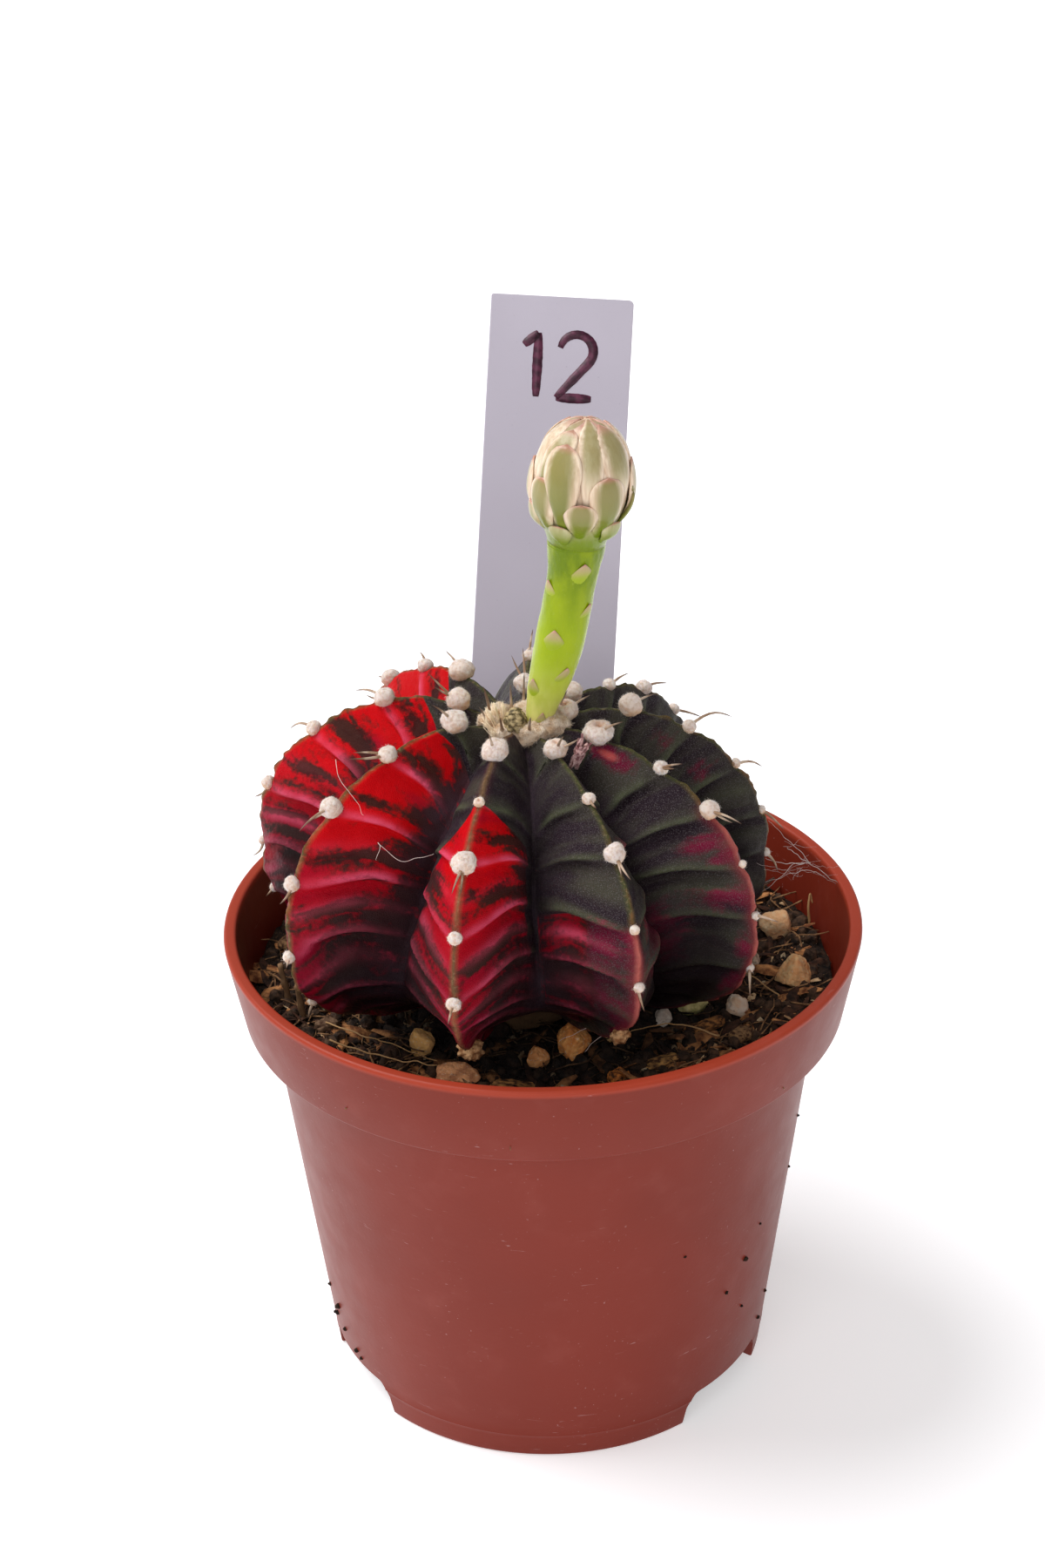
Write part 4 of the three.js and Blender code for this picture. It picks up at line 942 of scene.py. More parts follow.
def paint_skin(finish):
    """Red and dark flanks with their blotches, flushes, ridges and creases, and the corky crests; painted
    shade darkens the creases, the furrows and the foot, and painted glints and ridge highlights lighten the
    skin.
    """
    mix, ramp, grain, plus, times = finish.mix, finish.ramp, finish.grain, finish.plus, finish.times
    flow = finish.attribute("flow", "Vector")
    steps_down = finish.split(flow)[1]
    crest, ridge, crease, furrow, flush, pink = (
        finish.attribute(key) for key in ("crest", "ridge", "crease", "furrow", "flush", "pink"))
    wide = grain(1, 4, stretch=(2.6, 4.6, 1.0), where=flow, unit=1, warp=0.7)
    fine = grain(0.5, 3)
    # Fine grain: it raises the skin's relief, and its peaks are painted glints.
    grain_and_glints = grain(0.1, 1)
    broken = ramp(grain(1, 3, stretch=(3.0, 1.5, 1.0), where=flow, unit=1), 0.36, 0.6, 0.45, 1.0)
    ridge = times(ridge, broken)
    ragged = plus(
        times(finish.math("SUBTRACT", wide, 0.48), 2.2), times(finish.math("SUBTRACT", fine, 0.5), 0.9))

    depth_of_red = grain(1, 3, stretch=(1.1, 1.3, 1.0), where=flow, unit=1)
    # The red deepens towards the stem's foot by height: painted shade.
    lower_shade = ramp(finish.split(finish.place)[2], 0.05, 0.071, 0.36, -0.1)
    red = finish.blend(plus(depth_of_red, lower_shade), 0.42, 0.74, (202, 0, 12), (136, 0, 42))
    # Light red specks: painted glints.
    red = mix(ramp(grain_and_glints, 0.55, 0.75, 0, 0.16), red, paint(226, 40, 60))
    # A darker crimson further down the rib: painted shade.
    red = mix(ramp(steps_down, 1.9, 4.0, 0, 0.7), red, paint(136, 0, 34))
    # Pale pink ridge lines: the ridges' own colour, made stronger as painted highlight.
    red = mix(times(ridge, 0.86), red, paint(236, 98, 132))
    # The blotches, together with the painted shade of the furrows and the foot, darken the red.
    blotch = ramp(plus(finish.attribute("blotch"), ragged), 0.26, 0.9)
    blotch_and_shade_tint = finish.blend(wide, 0.4, 0.6, (26, 18, 16), (42, 34, 28))
    # Pink ridge lines over the blotches too: own colour and painted highlight.
    blotch_and_shade_tint = mix(times(ridge, 0.75), blotch_and_shade_tint, paint(196, 70, 92))
    blotch_and_shade_tint = mix(furrow, blotch_and_shade_tint, paint(50, 42, 48))
    red = mix(times(blotch, 0.94), red, blotch_and_shade_tint)

    shade = grain(1, 4, stretch=(1.2, 2.2, 1.0), where=flow, unit=1, warp=0.4)
    dark = finish.blend(shade, 0.4, 0.62, (62, 58, 50), (40, 28, 36))
    # A dark line in the crease under each ridge: painted shade.
    dark = mix(times(crease, 0.8), dark, paint(24, 12, 20))
    # Pale grey-green ridge lines: their own colour, made stronger as painted highlight.
    dark = mix(times(ridge, 0.75), dark, paint(92, 98, 70))
    # Darker down in the furrows: painted shade.
    dark = mix(times(furrow, 0.6), dark, paint(36, 22, 32))
    flush_tint = finish.blend(flush, 0.72, 1.05, (104, 6, 44), (204, 90, 84))
    # Ridge lines over the flushes: own colour and painted highlight.
    flush_tint = mix(ridge, flush_tint, paint(168, 62, 84))
    dark = mix(ramp(plus(flush, times(ragged, 0.5)), 0.25, 0.8), dark, flush_tint)
    # Pale grey specks on the dark flanks: painted glints.
    dark = mix(ramp(grain_and_glints, 0.5, 0.74, 0, 0.3), dark, paint(140, 132, 134))

    is_red = plus(finish.attribute("red"), times(ragged, 0.3))
    body = mix(ramp(is_red, 0.38, 0.62), dark, red)
    body = mix(times(furrow, ramp(grain(5, 3), 0.45, 0.65, 0, 0.45)), body, paint(92, 74, 88))
    body = mix(times(finish.attribute("shade"), 0.9), body, paint(14, 3, 8))
    body = mix(times(pink, 0.45), body, paint(150, 40, 56))
    warmth = times(ramp(steps_down, 1.1, 2.2), ramp(grain(2.0, 4), 0.42, 0.6))
    cork = mix(warmth, paint(78, 80, 46), paint(132, 94, 58))
    cork = mix(ramp(grain(0.4, 4), 0.5, 0.72, 0, 0.6), cork, paint(160, 136, 100))
    cork = mix(times(pink, 0.75), cork, paint(206, 104, 100))
    finish.colour(mix(times(crest, ramp(grain(1.2, 3), 0.25, 0.5, 0.6, 1.0)), body, cork))

    finish.relief(plus(grain_and_glints, grain(0.9, 3)), 0.13)
    finish.roughness(fine, 0.3, 0.7, 0.36, 0.52)
    finish.let_light_in(0.05, 0.0012, 0.0004, 0.0003)


skin_finish = Finish("cactus_skin", 0.46, 0.06)
paint_skin(skin_finish)
stem = make_piece("ribbed_stem", skin_points, skin_faces, skin_finish, ends)
settle(stem, "cactus_skin", "cactus_body")

ROOT_LINE = [(0.5, 20, 1), (-0.4, 33, 3.2), (0, 42, 5.8), (0, 46, 6.9), (0, 50, 8)]  # x, z, radius
root_finish = Finish("root_bark", 0.9, 0.2)
root_finish.colour(root_finish.mix(root_finish.grain(1, 4), paint(60, 44, 32), paint(112, 86, 60)))
root_finish.relief(root_finish.grain(0.8, 5, stretch=(1, 1, 0.3)), 0.4)
root = limb([(STEM_X + x, STEM_Y, z) for x, z, _ in ROOT_LINE], [radius for _, _, radius in ROOT_LINE], 40)
settle(make_piece("root_neck", *root, root_finish), "bark")

# ---- The areoles: a cushion of cream wool on each knob of the crests, hollow in the middle where
# it is young. Fine wool stands out of it all over.

TUFT_STAND = 0.22
HAIR_DENSITY = 30.0
HOLLOW_TUFTS = {(RIB_G, 0): 0.85, (RIB_H, 0): 0.85, (RIB_I, 0): 0.55, (RIB_A, 1): 0.7}
random = np.random.default_rng(17)


def areole(rib, number):
    """The point on the crest, the way out of the stem, up along the crest, and across the rib."""
    near = [stem_points(rib, 1, np.array([number + d]), np.array([0.0]))[0] for d in (-0.08, 0, 0.08)]
    along = near[0] - near[2]
    along /= np.linalg.norm(along)
    turn = math.radians(RIBS[rib][0])
    across = np.array((-math.sin(turn), math.cos(turn), 0))
    return near[1], np.cross(across, along), along, across


def lump(centre, axes, halves, level, rough, rough_size, hollow=0.0):
    """An uneven ball, with a dimple in the end that faces the third axis where it is hollow."""
    points, faces = ball(level)
    start = Vector(random.uniform(-50, 50, 3))
    sizes = np.array([1 + rough * noise.fractal(start + Vector(p) / rough_size, 0.8, 2, 3) for p in points])
    dimple = 1 - hollow * np.exp(-((np.hypot(points[:, 0], points[:, 1]) / 0.5) ** 2)) * (points[:, 2] > 0)
    local = points * (sizes * dimple)[:, None] * np.array(halves)
    return np.asarray(centre) + local @ np.array(axes), faces, np.clip(1 - dimple, 0, 1)


wool_parts, wool_pits = [], []
for rib in range(len(RIBS)):
    for number, width in enumerate(RIBS[rib][4]):
        point, out, along, across = areole(rib, number)
        halves = (width * 0.45, width * 0.42, width * 0.39)
        points, faces, pit = lump(
            point + out * width * TUFT_STAND, (across, along, out), halves, 4 if width > 1.5 else 3,
            0.13, 0.9, HOLLOW_TUFTS.get((rib, number), 0.0))
        wool_parts.append((points, faces))
        wool_pits.append(pit)

wool_finish = Finish("areole_wool", 0.95, 0.15)
shadow_side = wool_finish.add("ShaderNodeNewGeometry").outputs["Normal"]
# Each tuft is painted tan on its downward-facing side, in patches: painted shade.
underside_shade_share = wool_finish.ramp(wool_finish.split(shadow_side)[2], 0.5, -0.6, 0.1, 0.8)
underside_shade_share = wool_finish.times(underside_shade_share, wool_finish.ramp(wool_finish.grain(4.5, 2), 0.35, 0.6))
cream = wool_finish.blend(wool_finish.grain(0.35, 4), 0.3, 0.6, (212, 190, 176), (234, 222, 216))
cream = wool_finish.mix(underside_shade_share, cream, paint(226, 178, 134))
wool_finish.colour(wool_finish.mix(wool_finish.attribute("pit"), cream, paint(206, 132, 62)))
wool_finish.let_light_in(0.5, 0.0008, 0.0006, 0.0004)
wool_finish.relief(wool_finish.grain(0.12, 4), 0.14)
wool = make_piece("areole_wool", *gather(wool_parts), wool_finish, {"pit": np.concatenate(wool_pits)})
settle(wool, "wool")

HAIR = limb([(0, 0, -0.15), (0.1, 0.25, 0.85)], [0.034, 0.009], 3)
hair_finish = Finish("wool_hair", 0.8, 0.2)
hair_finish.colour(hair_finish.blend(hair_finish.grain(3, 2), 0.4, 0.6, (238, 229, 224), (224, 203, 184)))
wool_hair = scattered("wool_hair", wool, HAIR, hair_finish, HAIR_DENSITY, 0.14, 0.34, 84, 4, 0.35, 0.6)
settle(wool_hair, "wool")

# ---- The spines: one to three curved horny needles out of most areoles, longest near the top,
# where they point out and up, and short and drooping lower down.

SPINE_ROOT = 0.19
SPINE_SIDES = 7
SPINE_STEPS = 9
SHORT_SPINE = 2.1
LONG_SPINE = 4.8
# The spines that show best, by rib and areole: lean to the side, elevation, length, upward bow.
SHOWN_SPINES = {
    (RIB_D, 0): [(-10, 8, 4.5, 0.04)], (RIB_D, 1): [(-21, 2, 3.4, 0.08)],
    (RIB_C, 1): [(-33, -8, 4.7, 0.1), (-44, -16, 4.0, -0.06)], (RIB_C, 2): [(-33, -20, 4.4, 0.14)],
    (RIB_C, 3): [(-24, -46, 3.2, -0.1)], (RIB_C, 4): [(-14, -58, 2.8, -0.12)],
    (RIB_C, 5): [(-25, -50, 2.2, 0)],
    (RIB_B, 0): [(17, 46, 4.6, 0.04)], (RIB_B, 2): [(18, -5, 5.0, 0.08), (-6, -22, 2.2, 0)],
    (RIB_B, 3): [(33, -10, 3.2, -0.08)], (RIB_B, 4): [(50, -6, 2.0, 0)],
    (RIB_A, 0): [(0, 55, 3.8, 0.02)], (RIB_A, 2): [(-5, -14, 4.4, 0.05), (8, -24, 3.6, 0.04)],
    (RIB_A, 4): [(1, -14, 2.8, 0.04)],
    (RIB_I, 1): [(-14, 10, 3.0, -0.04)], (RIB_I, 2): [(-9, -5, 4.8, -0.05), (-18, -14, 3.4, 0.02)],
    (RIB_H, 0): [(-10, 36, 4.2, 0.04)], (RIB_H, 1): [(-22, 30, 4.2, 0.03), (-30, 24, 3.0, 0)],
    (RIB_H, 2): [(-18, 6, 4.9, 0.05), (-24, 2, 3.8, -0.03)], (RIB_H, 4): [(-17, 10, 3.4, 0.02)],
    (RIB_H, 5): [(-61, -20, 3.9, 0.04)],
    (RIB_G, 0): [(48, 4, 4.2, 0.04), (66, -4, 3.0, 0)], (RIB_G, 1): [(48, -4, 4.4, 0.04)],
    (RIB_G, 2): [(35, -8, 6.2, 0.16)], (RIB_G, 3): [(33, -22, 4.0, 0.12)],
    (RIB_F, 0): [(30, -8, 3.2, 0)], (RIB_F, 1): [(14, -2, 4.0, 0.05)], (RIB_F, 2): [(2, -12, 4.2, 0.06)],
    (RIB_E, 1): [(-2, 22, 4.2, 0.05)],
}


def needle(root, azimuth, elevation, length, bow):
    """A round spine that tapers to a point; its bow lifts its middle."""
    azimuth, elevation = math.radians(azimuth), math.radians(elevation)
    level = math.cos(elevation)
    way = np.array((math.cos(azimuth) * level, math.sin(azimuth) * level, math.sin(elevation)))
    side = np.cross(way, (0, 0, 1))
    lift = np.cross(side / np.linalg.norm(side), way)
    shares = np.linspace(-0.12, 1, SPINE_STEPS)
    centres = [
        root + way * length * s + lift * bow * length * math.sin(math.pi * max(s, 0)) for s in shares]
    radii = [SPINE_ROOT * (1.25 if s < 0.05 else (1 - s) ** 0.6 * 0.95 + 0.05) for s in shares]
    radii[-1] = 0.01
    points, faces = limb(centres, radii, SPINE_SIDES)
    places = np.concatenate([np.repeat(shares, SPINE_SIDES), [0, 1]])
    return points, faces, places


spine_parts, spine_places = [], []
for rib in range(len(RIBS)):
    for number, width in enumerate(RIBS[rib][4]):
        point, out, along, across = areole(rib, number)
        angle = RIBS[rib][3][number]
        shown = SHOWN_SPINES.get((rib, number))
        if shown is None:
            if rib in (RIB_A, RIB_I, RIB_H) and number in (1, 3):
                continue
            up = max(-16 + (1.6 if angle > 40 else 1.1) * (angle - 40), -68)
            length = SHORT_SPINE + (LONG_SPINE - SHORT_SPINE) * float(smooth(-20, 50, angle))
            lean = random.uniform(-16, 16)
            shown = [(lean, up, length * random.uniform(0.85, 1.1), random.uniform(-0.06, 0.1))]
            if width > 1.9:
                lean = random.choice((-1, 1)) * random.uniform(28, 42)
                shown.append((lean, up - 6, length * 0.75, random.uniform(-0.05, 0.08)))
        for lean, up, length, bow in shown:
            root_place = point + out * width * 0.16 + across * random.uniform(-0.2, 0.2)
            points, faces, places = needle(root_place, RIBS[rib][0] + lean, up, length, bow)
            spine_parts.append((points, faces))
            spine_places.append(places)

spine_finish = Finish("spine_horn", 0.5, 0.35)
horn = spine_finish.blend(spine_finish.grain(1.6, 3), 0.4, 0.6, (150, 118, 92), (196, 172, 150))
tip_share = spine_finish.ramp(spine_finish.attribute("along"), 0.55, 1.0, 0, 0.85)
spine_finish.colour(spine_finish.mix(tip_share, horn, paint(74, 44, 34)))
spines = make_piece("spines", *gather(spine_parts), spine_finish, {"along": np.concatenate(spine_places)})
settle(spines, "spine")

# ---- The corky nubs: dead tan knobs of cork, grown where the crests of the two front ribs end near
# the soil.

NUBS = [(RIB_A, 5.8, 1.5), (RIB_I, 5.15, 1.1)]  # rib, place down the rib, half size
nub_parts = []
for rib, place, half in NUBS:
    point, out, along, across = areole(rib, place)
    halves = (half * 0.8, half * 1.15, half * 0.8)
    nub_parts.append(lump(point + out * 0.1, (across, along, out), halves, 4, 0.4, 0.5)[:2])
nub_finish = Finish("cork_nubs", 0.85, 0.25)
nub_finish.colour(nub_finish.blend(nub_finish.grain(0.7, 4), 0.35, 0.65, (150, 100, 62), (232, 184, 134)))
nub_finish.relief(nub_finish.grain(0.3, 4), 0.2)
settle(make_piece("cork_nubs", *gather(nub_parts), nub_finish), "cactus_skin")

# ---- The crown: young areoles crowded round the growing point, matted with tan wool, with flat
# tufts of old fibre on the left, thin upright spines and a tiny new bud.

crown_centre = np.array((STEM_X + CROWN_SHIFT, STEM_Y - 0.8, STEM_Z + CROWN_RISE - CROWN_DENT))
UPRIGHT = ((1, 0, 0), (0, 1, 0), (0, 0, 1))
CROWN_LUMPS = [  # x, y, z from the centre, half sizes
    (-0.4, -0.4, 0.0, 3.7, 2.9, 1.4), (3.2, -1.4, 1.0, 1.9, 1.5, 1.3), (1.2, -2.6, 0.7, 1.7, 1.3, 1.1),
    (-1.4, -2.2, 0.6, 1.6, 1.2, 1.1), (4.0, 0.8, 0.8, 1.3, 1.2, 1.1), (-3.2, -0.6, 1.0, 1.3, 1.2, 1.2),
    (1.0, 2.2, 0.9, 1.6, 1.2, 1.2), (-2.2, 1.8, 0.9, 1.4, 1.2, 1.1),
]
crown_parts = [
    lump(crown_centre + (x, y, z), UPRIGHT, halves, 4, 0.22, 0.7)[:2] for x, y, z, *halves in CROWN_LUMPS]
crown_finish = Finish("crown_wool", 0.95, 0.15)
crown_finish.colour(crown_finish.blend(
    crown_finish.grain(0.9, 4), 0.3, 0.7, (212, 176, 138), (244, 226, 206)))
crown_finish.relief(crown_finish.grain(0.16, 4), 0.3)
crown = make_piece("crown_wool", *gather(crown_parts), crown_finish)
settle(crown, "wool")
crown_hair_finish = Finish("crown_hair", 0.85, 0.2)
crown_hair_finish.colour(crown_hair_finish.blend(
    crown_hair_finish.grain(1.2, 2), 0.3, 0.7, (226, 198, 164), (248, 236, 220)))
crown_hair = scattered("crown_hair", crown, HAIR, crown_hair_finish, 34, 0.2, 0.55, 78, 9, 0.35, 0.7)
settle(crown_hair, "wool")

FIBRE_TUFTS = [  # foot x, y, z from the crown's centre, tip x, y, z, width
    (-2.6, -2.0, 0.0, -3.6, -2.2, 2.2, 0.6), (-2.3, -1.4, 0.0, -3.4, -1.4, 3.0, 0.7),
    (-2.0, -0.8, 0.0, -2.8, -0.8, 3.2, 0.7), (-2.8, -1.0, 0.0, -4.0, -1.0, 2.2, 0.7),
    (-2.2, -2.6, 0.1, -2.9, -3.0, 1.4, 0.6), (-1.5, 0.0, 0.2, -1.9, 0.1, 2.9, 0.6),
]
TUFT_STRANDS = 20
tuft_parts = []
for x0, y0, z0, x1, y1, z1, width in FIBRE_TUFTS:
    foot, tip = crown_centre + (x0, y0, z0), crown_centre + (x1, y1, z1)
    for strand in range(TUFT_STRANDS):
        sway = random.uniform(-0.4, 0.4, 3) * width
        start = foot + sway
        end = tip + sway * 0.9 + random.uniform(-0.2, 0.2, 3) + (0, 0, random.uniform(-0.9, 0.2))
        shares = np.linspace(0, 1, 6)
        bow = random.uniform(-0.1, 0.1, 3)
        centres = [start + (end - start) * s + bow * math.sin(math.pi * s) for s in shares]
        radii = [0.13 * width * (1 - 0.6 * s) + 0.02 for s in shares]
        tuft_parts.append(limb(centres, radii, 5, 0.7))
tuft_finish = Finish("old_fibre", 0.85, 0.2)
strands = tuft_finish.grain(0.5, 4, stretch=(1, 1, 0.3))
tuft_finish.colour(tuft_finish.mix(strands, paint(232, 206, 168), paint(266, 252, 228)))
settle(make_piece("fibre_tufts", *gather(tuft_parts), tuft_finish), "wool")

NEW_BUD_ROWS = (  # scales in the row, height, radius, lean outwards
    (9, -0.3, 1.15, 75), (8, 0.35, 1.02, 62), (6, 0.9, 0.72, 42), (4, 1.3, 0.34, 22))
new_bud_centre = crown_centre + (-0.5, -2.0, 1.8)
bud_parts = [lump(new_bud_centre, UPRIGHT, (1.1, 1.1, 1.35), 3, 0.1, 0.8)[:2]]
for row, (count, height, radius, spread) in enumerate(NEW_BUD_ROWS):
    for i in range(count):
        turn = math.radians(360 / count * (i + row * 0.5))
        lean = math.radians(spread)
        x, y = math.cos(turn), math.sin(turn)
        side = np.array((-y, x, 0))
        out = np.array((x * math.sin(lean), y * math.sin(lean), math.cos(lean)))
        centre = new_bud_centre + (x * radius, y * radius, height)
        axes = (side, out, np.cross(side, out))
        bud_parts.append(lump(centre, axes, (0.46, 0.17, 0.5), 2, 0.15, 0.8)[:2])
new_bud_finish = Finish("new_bud_scales", 0.6, 0.3)
new_bud_finish.colour(new_bud_finish.blend(
    new_bud_finish.grain(0.5, 3), 0.35, 0.65, (78, 66, 40), (186, 164, 120)))
settle(make_piece("new_bud", *gather(bud_parts), new_bud_finish), "tepal")

CROWN_NEEDLES = [  # x, y from the crown's centre, azimuth, elevation, length
    (-3.1, 0.4, 160, 76, 2.7), (-1.9, -2.9, -100, 60, 2.2), (0.9, -3.4, -80, 64, 2.4),
    (-0.9, 1.3, 100, 82, 3.0), (-3.2, 1.9, 140, 72, 2.6), (3.9, 0.9, 30, 60, 2.6),
    (0.4, 2.6, 80, 78, 3.6), (-3.4, -1.2, 200, 66, 2.2),
]
crown_spine_parts, crown_spine_places = [], []
for x, y, azimuth, up, length in CROWN_NEEDLES:
    points, faces, places = needle(crown_centre + (x, y, 1.3), azimuth, up, length, 0.03)
    crown_spine_parts.append((points, faces))
    crown_spine_places.append(0.5 + places * 0.5)
crown_spines = make_piece(
    "crown_spines", *gather(crown_spine_parts), spine_finish, {"along": np.concatenate(crown_spine_places)})
settle(crown_spines, "spine")

# ---- The flower tube: the smooth, waxy, yellow-green stalk of the flower, which widens upwards
# and carries a few small pink-grey scales.

TUBE_STATIONS = np.array([
    (-0.4, -3.4, 76.6, 1.15), (0, -3.5, 79.6, 1.3), (0.1, -3.5, 81.6, 1.5), (0.7, -3.5, 84.2, 1.95),
    (1.5, -3.5, 87, 2.35), (2.3, -3.5, 90.2, 2.55), (3, -3.5, 93.8, 2.55), (3.6, -3.5, 97.4, 2.6),
    (4, -3.5, 100.4, 2.96), (4.06, -3.5, 101.2, 2.95),
])
TUBE_SIDES = 64
TUBE_ROWS = 70
TUBE_SCALES = [  # height of the tip, azimuth, half width
    (99.7, -72, 1.3), (97.4, -152, 1.1), (94.8, -37, 1.0), (92.3, -112, 1.3), (87.9, -62, 1.2),
    (86.4, -141, 1.2), (82.6, -88, 1.15), (98.2, 30, 1.1), (95.6, 100, 1.0), (91.4, 150, 1.1),
    (89.8, 25, 1.2), (86.8, 95, 1.2),
]


def smooth_stations(stations, count):
    """A smooth curve through the stations (Catmull-Rom)."""
    padded = np.concatenate([[2 * stations[0] - stations[1]], stations, [2 * stations[-1] - stations[-2]]])
    places = np.linspace(0, len(stations) - 1 - 1e-6, count)
    out = []
    for place in places:
        i, t = int(place), place - int(place)
        a, b, c, d = padded[i:i + 4]
        out.append(0.5 * (2 * b + (c - a) * t + (2 * a - 5 * b + 4 * c - d) * t ** 2
                          + (3 * b - a - 3 * c + d) * t ** 3))
    return np.array(out)


tube_line = smooth_stations(TUBE_STATIONS, TUBE_ROWS)


def on_tube(azimuth, height, stand):
    """A point on the tube's skin, or standing off it."""
    x, y, radius = (np.interp(height, tube_line[:, 2], tube_line[:, i]) for i in (0, 1, 3))
    turn, reach = math.radians(azimuth), radius + stand
    return np.array((x + math.cos(turn) * reach, y + math.sin(turn) * reach, height))


def blade(surface, low, high, azimuth, lean, half, girth, outline, stand, thickness, columns, rows):
    """A leaf-like blade on a surface, as a closed solid: outside and inside grids and their rim.

    outline gives the half width and stand the height off the surface, each from the share of the
    way up (and, for stand, from the place across). girth turns a width into an angle.
    """
    grids = []
    for layer in (0, 1):
        for v in np.linspace(0, 1, rows):
            for u in np.linspace(-1, 1, columns):
                thin = thickness * (1 - 0.6 * abs(u) ** 3) * (1 - 0.5 * v ** 4)
                angle = azimuth + lean * v + math.degrees(u * half * max(outline(v), 0.02) / girth(v))
                grids.append(surface(angle, low + (high - low) * v, stand(v, u) - layer * thin))
    count = rows * columns
    faces = []
    for row in range(rows - 1):
        for column in range(columns - 1):
            a = row * columns + column
            quad = [a, a + 1, a + 1 + columns, a + columns]
            faces.append(quad)
            faces.append([i + count for i in reversed(quad)])
    rim = list(range(columns)) + [r * columns + columns - 1 for r in range(1, rows)]
    rim += list(range(count - 2, count - columns - 1, -1)) + [r * columns for r in range(rows - 2, 0, -1)]
    for a, b in zip(rim, rim[1:] + rim[:1]):
        faces.append([b, a, a + count, b + count])
    across = np.tile(np.linspace(-1, 1, columns), rows * 2)
    along = np.tile(np.repeat(np.linspace(0, 1, rows), columns), 2)
    return np.array(grids), faces, across, along


def pointed(v):
    """Half width of a small scale: broad at the foot, drawn to a point."""
    return (1 - v ** 1.35) ** 0.9


tube_rings = []
for i, (x, y, z, radius) in enumerate(tube_line):
    before, after = tube_line[max(i - 1, 0)], tube_line[min(i + 1, len(tube_line) - 1)]
    ring = ring_across((x, y, z), (after - before)[:3], radius, TUBE_SIDES)
    for point in ring:
        out = point - np.array((x, y, z))
        point += out / radius * 0.07 * noise.fractal(Vector(point) * 0.5, 0.8, 2, 2)
    tube_rings.append(ring)
tube_points, tube_faces = skinned(np.array(tube_rings), tube_line[0][:3], tube_line[-1][:3])
tube_finish = Finish("waxy_stalk", 0.24, 0.2)
stalk_height = tube_finish.split(tube_finish.place)[2]
green = tube_finish.blend(stalk_height, 0.079, 0.09, (238, 232, 140), (156, 178, 0))
# Darker green towards the top of the stalk, under the bud: painted shade.
green = tube_finish.mix(tube_finish.ramp(stalk_height, 0.09, 0.1), green, paint(108, 132, 0))
mottle = tube_finish.ramp(tube_finish.grain(1.6, 4, stretch=(1, 1, 0.45)), 0.35, 0.7, 0, 0.45)
green = tube_finish.mix(mottle, green, paint(168, 184, 14))
cells = tube_finish.ramp(tube_finish.grain(0.3, 2), 0.62, 0.75, 0, 0.2)
green = tube_finish.mix(cells, green, paint(176, 190, 90))
tube_finish.colour(green)
tube_finish.relief(tube_finish.grain(0.5, 4, stretch=(1, 1, 0.5)), 0.09)
tube_finish.let_light_in(0.12, 0.0012, 0.0012, 0.0003)
settle(make_piece("flower_stalk", tube_points, tube_faces, tube_finish), "flower_tube", "flower_tube")

scale_parts, scale_along = [], []
for tip, azimuth, half_width in TUBE_SCALES:
    points, faces, across, along = blade(
        on_tube, tip - half_width * 2.0, tip, azimuth, 0, half_width * 1.25, lambda v: 2.4, pointed,
        lambda v, u: -0.06 + 0.36 * v - 0.1 * abs(u) ** 2, 0.16, 11, 14)
    scale_parts.append((points, faces))
    scale_along.append(along)
scale_finish = Finish("stalk_scales", 0.5, 0.4)
along = scale_finish.attribute("along")
scale_tint = scale_finish.blend(along, 0.25, 0.8, (158, 178, 20), (184, 166, 116))
scale_finish.colour(scale_finish.mix(scale_finish.ramp(along, 0.8, 1), scale_tint, paint(198, 146, 132)))
scale_finish.relief(scale_finish.grain(0.4, 3), 0.05)
stalk_scales = make_piece(
    "stalk_scales", *gather(scale_parts), scale_finish, {"along": np.concatenate(scale_along)})
settle(stalk_scales, "tepal")

# ---- The bud: a closed egg of overlapping tepals. The inner ones are cream with an olive middle,
# the outer ones shorter and greener, each with a pale edge and a pink tip.

BUD_FOOT = np.array((4.06, -3.5, 100.85))
BUD_LEAN = math.radians(5)
BUD_HEIGHT = 13.3
BUD_RADIUS = 4.75
BUD_FOOT_RADIUS = 2.88
BUD_WIDEST = 0.48
